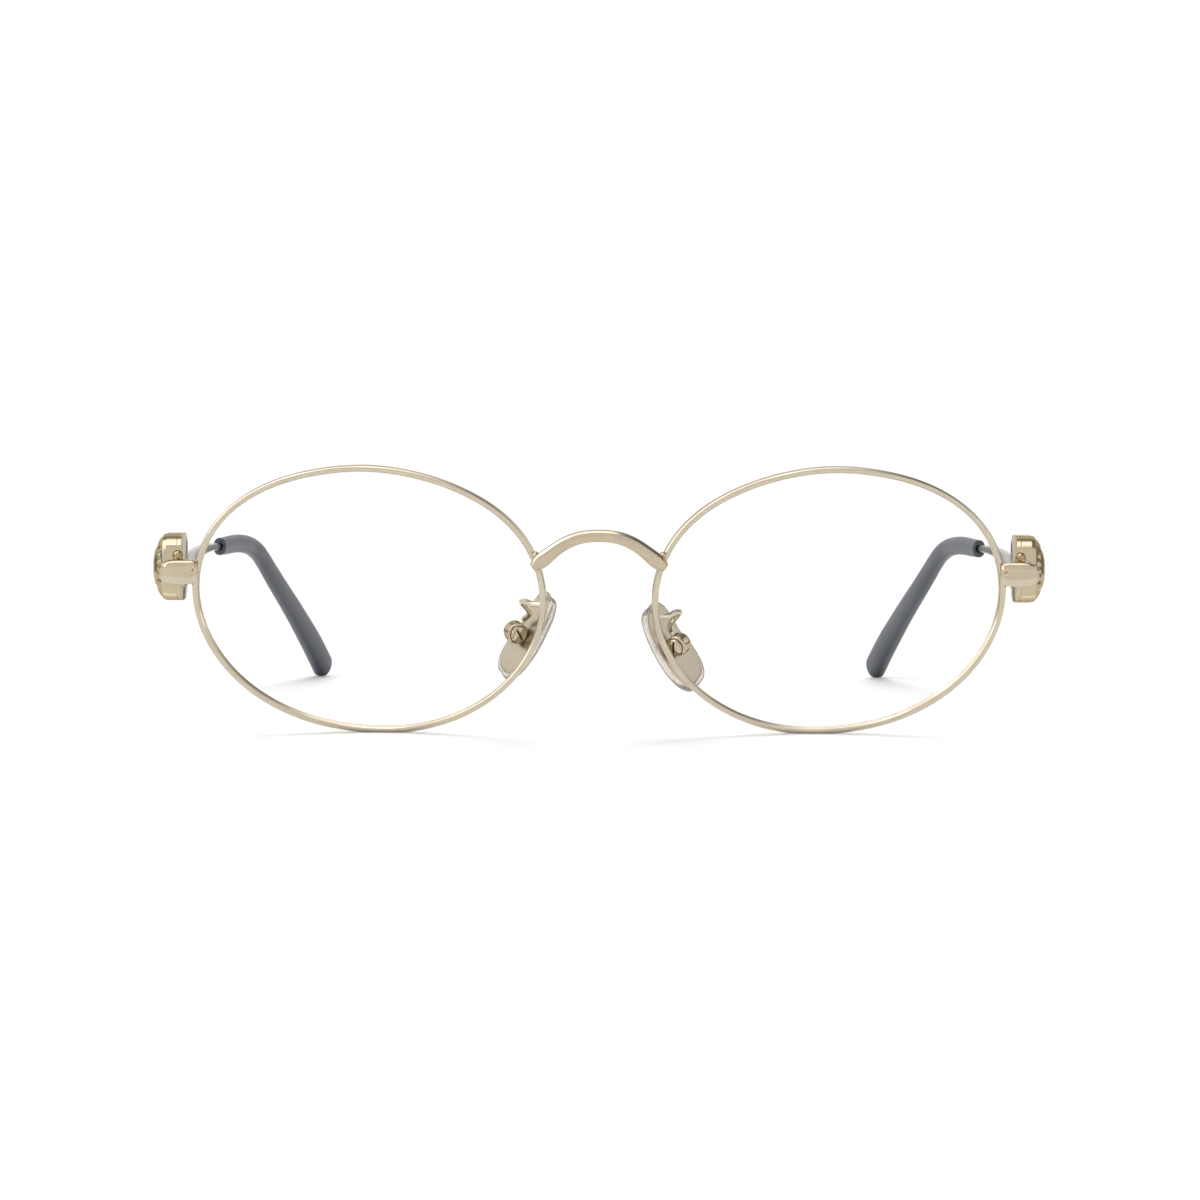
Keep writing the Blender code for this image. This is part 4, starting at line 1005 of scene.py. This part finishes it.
def pad_axes(side):
    s = SIDES[side]
    a = PADS[side]
    sp, ln = math.radians(a["splay"]), math.radians(a["lean"])
    up = np.array([-s * math.sin(ln), 0.0, math.cos(ln)])
    w0 = np.array([0.0, 1.0, 0.0])
    n0 = np.cross(w0, up) * s
    w = math.cos(sp) * w0 + math.sin(sp) * n0
    n = math.cos(sp) * n0 - math.sin(sp) * w0
    return w, up, n


def pad_frame(side):
    w, up, n = pad_axes(side)
    o = np.array(PADS[side]["screw"])

    def world(u, v, q):
        return Vector(o + w * u + up * v + n * q)

    return world, o, w, up, n


def pad_plate(side):
    world, o, w, up, n = pad_frame(side)
    bm = bmesh.new()
    face = -PAD_OUT
    low = face - PAD_PLATE_T
    prof = [(low, 0.55), (low, 0.70), (low + 0.03, 0.745), (low + 0.09, 0.785), (low + 0.20, 0.826), (low + 0.42, 0.868),
            (face - 0.50, 0.889), (face - 0.30, 0.897), (face - 0.10, 0.900), (face - 0.05, 0.893), (face - 0.01, 0.872),
            (face, 0.840), (face, 0.70)]
    rows = [[bm.verts.new(world(u, v, q)) for u, v in pad_outline(side, k)] for q, k in prof]
    for a, b in zip(rows, rows[1:]):
        for i in range(len(a)):
            j = (i + 1) % len(a)
            bm.faces.new((a[i], a[j], b[j], b[i]))
    bm.faces.new(rows[0])
    hw, hv = BOX_SLOT - 0.06, 0.78
    foot = {(a, b): bm.verts.new(world(a * hw, b * hv, face)) for a in (-1, 1) for b in (-1, 1)}
    cap_region(bm, [rows[-1], [foot[-1, -1], foot[1, -1], foot[1, 1], foot[-1, 1]]])
    head = arc(hv, 0, 180, 25)
    cheeks = []
    for a in (-1, 1):
        loop = [foot[a, 1]] + [bm.verts.new(world(a * hw, v, q)) for v, q in head] + [foot[a, -1]]
        hole = [bm.verts.new(world(a * hw, v, q)) for v, q in circle(PAD_BORE_R, 28)]
        cap_region(bm, [loop, hole])
        cheeks.append((loop, hole))
    (la, ha), (lb, hb) = cheeks
    for i in range(len(la) - 1):
        bm.faces.new((la[i], la[i + 1], lb[i + 1], lb[i]))
    for i in range(len(ha)):
        j = (i + 1) % len(ha)
        bm.faces.new((ha[i], ha[j], hb[j], hb[i]))
    return make(f"pad_plate_{side}", bm, PLATE, smooth=40)


def pad_cushion(side):
    world, o, w, up, n = pad_frame(side)
    face = -PAD_OUT
    unit = 5.5
    low = face - PAD_PLATE_T - 0.05
    line = rounded([(low, 0.55 * unit), (low, 0.745 * unit), (low + 0.22, 0.850 * unit), (face - 0.50, 0.908 * unit),
                    (face + 0.02, 0.922 * unit), (face + 0.02, 0.965 * unit), (face - 0.22, 0.99 * unit), (face - 0.60, 1.0 * unit),
                    (face - 1.10, 0.97 * unit), (face - 1.55, 0.86 * unit), (face - 1.86, 0.60 * unit), (face - 1.94, 0.28 * unit)],
                   [0, 0.10, 0.2, 0.3, 0.04, 0.12, 0.3, 0.5, 0.8, 1.0, 1.5, 0], 5, closed=False)
    rings = [[world(u, v, q) for u, v in pad_outline(side, r / unit)] for q, r in line]
    bm = bmesh.new()
    vs = [[bm.verts.new(p) for p in ring] for ring in rings]
    m = len(vs[0])
    for a, b in zip(vs, vs[1:]):
        for i in range(m):
            j = (i + 1) % m
            bm.faces.new((a[i], a[j], b[j], b[i]))
    bm.faces.new(vs[0])
    bm.faces.new(vs[-1])
    return make(f"pad_cushion_{side}", bm, SILICONE, smooth=60)


def pad_box(side):
    """Rounded cup of the pad arm: two cheeks joined at the back, the screw-head end dished round the screw."""
    world, o, w, up, n = pad_frame(side)
    bm = bmesh.new()
    ends = [(0.0, 0.0), (0.10, 0.30), (0.24, 0.52), (0.40, 0.72), (0.56, 0.86), (0.74, 0.95), (1.0, 1.0)]
    reach = BOX_W - BOX_SLOT

    def swell(u):                       # the ends of the barrel are rounded over
        q = min((BOX_W - abs(u)) / reach, 1.0)
        return 0.90 + 0.10 * math.sqrt(max(1 - (1 - q) ** 2, 0.0))

    base = arc(BOX_R, 32, 148, 30, 0.0, 0.15)
    ear = (arc(BOX_R, 150, 190, 11, 0.0, 0.15) + rounded([(-BOX_R * 0.985, -0.10), (-1.50, -0.95), (1.50, -0.95), (BOX_R * 0.985, -0.10)],
                                                         [0, 0.30, 0.30, 0], 5, closed=False)[1:-1]
           + arc(BOX_R, -10, 30, 11, 0.0, 0.15))
    us = [-BOX_W, -BOX_W + 0.03, -BOX_W + 0.08, -BOX_W + 0.16, -BOX_W + 0.28, -BOX_SLOT,
          BOX_SLOT, BOX_W - 0.28, BOX_W - 0.16, BOX_W - 0.08, BOX_W - 0.03, BOX_W]

    def to_world(v, q, u):
        if math.hypot(v, q) > PAD_FIX_R * 1.1:
            k = swell(u)
            v, q = v * k, 0.15 + (q - 0.15) * k
        return world(u, v, q)

    bm = leaf_solid(base, ear, circle(PAD_FIX_R, 32), us, [True] * 5 + [False] + [True] * 5, to_world)
    ob = make(f"pad_box_{side}", bm, GOLD, smooth=42)
    dish = turned([(0, -BOX_W - 0.5), (1.42, -BOX_W - 0.5), (1.42, -BOX_W + 0.26), (0, -BOX_W + 0.20)], 48,
                  lambda a, b, h: world(h, a, b))
    cut_away(ob, dish, 42)                       # the screw head sits in a shallow dish, its cut faces painted dark as shade
    return ob


def pad_screw(side):
    world, o, w, up, n = pad_frame(side)

    def to_world(a, b, h):
        return world(h, a, b)

    f = -BOX_W - 0.04
    head = 1.34
    dome = [(0, f - 0.50)] + [((head - 0.02) * math.sin(math.radians(a)) ** 0.9, f - 0.14 - 0.36 * math.cos(math.radians(a)) ** 0.8) for a in range(6, 90, 7)]
    prof = dome + [(head, f - 0.10), (head, f + 0.04), (head - 0.06, f + 0.08), (PAD_PIN_R, f + 0.08), (PAD_PIN_R, BOX_W - 0.05), (0.42, BOX_W + 0.04),
                   (0.36, BOX_W + 0.06), (0, BOX_W + 0.06)]
    ob = make(f"pad_screw_{side}", turned(prof, 48, to_world), GOLD, smooth=40)
    turn = math.radians(38 if side == "left" else -30)
    along = up * math.cos(turn) + n * math.sin(turn)
    across = -up * math.sin(turn) + n * math.cos(turn)
    slotted(ob, world(f - 0.50, 0, 0), along, across, w, 0.17, 0.40, 2.05)
    slotted(ob, world(f - 0.50, 0, 0), across, along, w, 0.17, 0.40, 2.05)
    return ob


def pad_arm_path(side):
    world, o, w, up, n = pad_frame(side)
    s = SIDES[side]
    z = PADS[side]["solder"]
    near = min(LOCK_STATIONS, key=lambda st: abs(st[0][2] - z) + (100 if st[0][0] > LENS_X else 0))
    start = near[0] + near[2] * (WIRE_D + ARM_WIRE + 0.05)
    pts = [(s * start[0], start[1], start[2])] + [(s * x, y, zz) for x, y, zz in PADS[side]["bends"]]
    end = np.array(world(0.70, BOX_R + 0.04, -0.30))
    return [np.array(p) for p in pts] + [end + up * 0.55, end]


def pad_arm(side):
    path, length = smooth_path(pad_arm_path(side), 120)
    tan = tangents(path)
    rings = []
    ref = np.array([0.0, 0.0, 1.0])
    tan[-1] = tan[-2] = -pad_axes(side)[1]
    steps = [(-ARM_WIRE * 0.0, 0.62), (0.0, 0.9)]
    for k, (p, t) in enumerate(zip(path, tan)):
        ref = ref - t * (ref @ t)
        ref /= np.linalg.norm(ref)
        b = np.cross(t, ref)
        r = ARM_WIRE * (1.0 if k > 3 else math.sqrt(1 - (1 - (k + 1) / 5) ** 2))
        rings.append([Vector(p + ref * (r * math.cos(a)) + b * (r * math.sin(a)))
                      for a in [2 * math.pi * i / 28 for i in range(28)]])
    # the pad arm in the paler gold: painted light
    return make(f"pad_arm_{side}", loft(rings), ARM_GOLD_LIT, smooth=60)


# ================================================================ assembly
bridge()
for side, s in SIDES.items():
    eyewire(side)
    rim_lock(side, "upper")
    rim_lock(side, "lower")
    rim_lock_screw(side)
    end_piece(side)
    hinge_front(side)
    hinge_screw(side)
    pad_arm(side)
    pad_box(side)
    pad_screw(side)
    hinge_temple(side)
    temple_arm(side)
    medallion(side)
    temple_tip(side)
    pad_plate(side)
    pad_cushion(side)
    # solder: bridge foot to rim, pad arm to rim, lug to rim
    nx, nz = notch()
    fillet("bridge", (s * (nx + 0.02), front_y(nx, nz) - 0.45, nz + 0.18), [(0.50 * s, 0, -0.20), (0, 0.66, 0), (0.20 * s, 0, 0.46)], f"solder_bridge_{side}",
           ORNAMENT)
    z = PADS[side]["solder"]
    near = min(LOCK_STATIONS, key=lambda st: abs(st[0][2] - z) + (100 if st[0][0] > LENS_X else 0))
    at = near[0] + near[2] * (WIRE_D + 0.10)
    fillet(f"pad_arm_{side}", (s * at[0], at[1], at[2]), [(0.46, 0, 0), (0, 0.40, 0), (0, 0, 0.62)], f"solder_pad_arm_{side}")

# ================================================================ camera, floor and light
cam = bpy.data.cameras.new("camera")
cam.sensor_width = 36.0
cam.lens = 4845.0 / 1200.0 * 36.0
cam.clip_start = 0.01
cam.clip_end = 20.0
camera = bpy.data.objects.new("camera", cam)
camera.location = (0.00015, (-750.0 - Y_CENTRE) * M, 0.0561)
camera.rotation_euler = Euler((math.radians(90 - 2.71), 0.0, 0.0), "XYZ")
camera.rotation_euler = (camera.rotation_euler.to_matrix() @ Matrix.Rotation(math.radians(0.17), 3, "Z")).to_euler()
COLLECTION.objects.link(camera)
bpy.context.scene.camera = camera

bm = bmesh.new()
bmesh.ops.create_grid(bm, x_segments=4, y_segments=4, size=0.45)
me = bpy.data.meshes.new("floor")
bm.to_mesh(me)
bm.free()
floor = bpy.data.objects.new("floor", me)
COLLECTION.objects.link(floor)
fm = bpy.data.materials.new("floor_paper")
ft = Tree(fm)
paper = ft.noise(30.0, 3.0, 0.5)
ft.link(ft.mix(ft.span(paper, 0.0, 1.0), (0.925, 0.925, 0.925), (0.94, 0.94, 0.94)), ft.bsdf.inputs["Base Color"])
ft.bsdf.inputs["Roughness"].default_value = 0.9
ft.bsdf.inputs["Specular IOR Level"].default_value = 0.0
me.materials.append(fm)

world = bpy.data.worlds.new("studio")
bpy.context.scene.world = world
world.use_nodes = True
wt = world.node_tree
for node in list(wt.nodes):
    wt.nodes.remove(node)
out = wt.nodes.new("ShaderNodeOutputWorld")
mixer = wt.nodes.new("ShaderNodeMixShader")
dimmer = wt.nodes.new("ShaderNodeMapRange")
path = wt.nodes.new("ShaderNodeLightPath")
seen = wt.nodes.new("ShaderNodeBackground")
seen.inputs["Color"].default_value = (1.0, 1.0, 1.0, 1.0)
seen.inputs["Strength"].default_value = 1.05
room = wt.nodes.new("ShaderNodeBackground")
room.inputs["Strength"].default_value = 1.0
coords = wt.nodes.new("ShaderNodeTexCoord")


def lobe(direction, near, far, inside, outside):
    """A smooth patch of the room's light, by the angle from a direction."""
    dot = wt.nodes.new("ShaderNodeVectorMath")
    dot.operation = "DOT_PRODUCT"
    wt.links.new(coords.outputs["Generated"], dot.inputs[0])
    dot.inputs[1].default_value = Vector(direction).normalized()
    m = wt.nodes.new("ShaderNodeMapRange")
    m.interpolation_type = "SMOOTHSTEP"
    m.inputs["From Min"].default_value = math.cos(math.radians(far))
    m.inputs["From Max"].default_value = math.cos(math.radians(near))
    m.inputs["To Min"].default_value = outside
    m.inputs["To Max"].default_value = inside
    wt.links.new(dot.outputs["Value"], m.inputs["Value"])
    return m.outputs["Result"]


def product(a, b):
    n = wt.nodes.new("ShaderNodeMath")
    n.operation = "MULTIPLY"
    wt.links.new(a, n.inputs[0])
    wt.links.new(b, n.inputs[1])
    return n.outputs[0]


def total(a, b):
    n = wt.nodes.new("ShaderNodeMath")
    n.operation = "ADD"
    wt.links.new(a, n.inputs[0])
    wt.links.new(b, n.inputs[1])
    return n.outputs[0]


light = lobe((0.0, -1.0, 0.05), 10, 55, 0.98, 0.92)              # an even, pale room
SHADED = [  # direction, inner and outer angle, factor inside and outside
    ((0, 1, 0.15), 64, 80, 0.32, 1.0),  # the dark room round the backdrop
    ((0.62, -0.1, 0.78), 14, 32, 0.28, 1.0),  # a dark flag high on the right
    ((-0.1, -0.05, 1), 12, 40, 2.30, 1.0),  # bright ceiling
    ((-0.75, -0.35, 0.55), 10, 32, 2.40, 1.0),  # window of light on the left
]
LIT = [
    ((0, 1, 0.12), 28, 50, 0.74, 0.0),  # the pale backdrop itself
    ((-0.7, 0.57, 0.42), 10, 26, 0.80, 0.0),  # two cards beside it
    ((0.82, 0.24, 0.52), 10, 24, 0.52, 0.0),
    ((-0.56, -0.11, 0.82), 3, 8, 1.80, 0.0),  # small lamps that pick out the corners
    ((-0.8, -0.55, 0.22), 3, 7, 2.40, 0.0),
    ((0.84, -0.5, 0.16), 3, 6, 1.80, 0.0),
    ((-0.12, -0.55, 0.83), 3, 7, 2.20, 0.0),
]
for patch in SHADED:
    light = product(light, lobe(*patch))
for patch in LIT:
    light = total(light, lobe(*patch))
wt.links.new(light, room.inputs["Color"])
dimmer.inputs["To Min"].default_value = 1.0
dimmer.inputs["To Max"].default_value = 0.50                      # matt surfaces get less of the room, so the shadows show
wt.links.new(path.outputs["Is Diffuse Ray"], dimmer.inputs["Value"])
wt.links.new(dimmer.outputs["Result"], room.inputs["Strength"])
wt.links.new(path.outputs["Is Camera Ray"], mixer.inputs["Fac"])
wt.links.new(room.outputs[0], mixer.inputs[1])
wt.links.new(seen.outputs[0], mixer.inputs[2])
wt.links.new(mixer.outputs[0], out.inputs["Surface"])


def area(name, size, size_y, energy, location, target):
    light = bpy.data.lights.new(name, "AREA")
    light.shape = "RECTANGLE"
    light.size = size
    light.size_y = size_y
    light.energy = energy
    ob = bpy.data.objects.new(name, light)
    ob.location = location
    d = Vector(target) - Vector(location)
    ob.rotation_euler = d.to_track_quat("-Z", "Y").to_euler()
    COLLECTION.objects.link(ob)
    return ob


fill = area("softbox_left", 0.35, 0.7, 1.2, (-0.95, -0.45, 0.70), (0.0, -0.05, 0.02))
fill.visible_glossy = False                                       # only its soft light, not its outline

key = bpy.data.lights.new("back_light", "SUN")                    # low light from behind: soft shadows come forward
key.energy = 6.18
key.angle = math.radians(34)
key.color = (1.0, 0.992, 0.975)
back = bpy.data.objects.new("back_light", key)
back.rotation_euler = Vector((-0.05, -1.0, -0.30)).to_track_quat("-Z", "Y").to_euler()
back.visible_glossy = False
back.visible_transmission = False
COLLECTION.objects.link(back)

scene = bpy.context.scene
scene.view_settings.view_transform = "Standard"
scene.view_settings.look = "None"
scene.view_settings.exposure = 0.0
scene.view_settings.gamma = 1.0
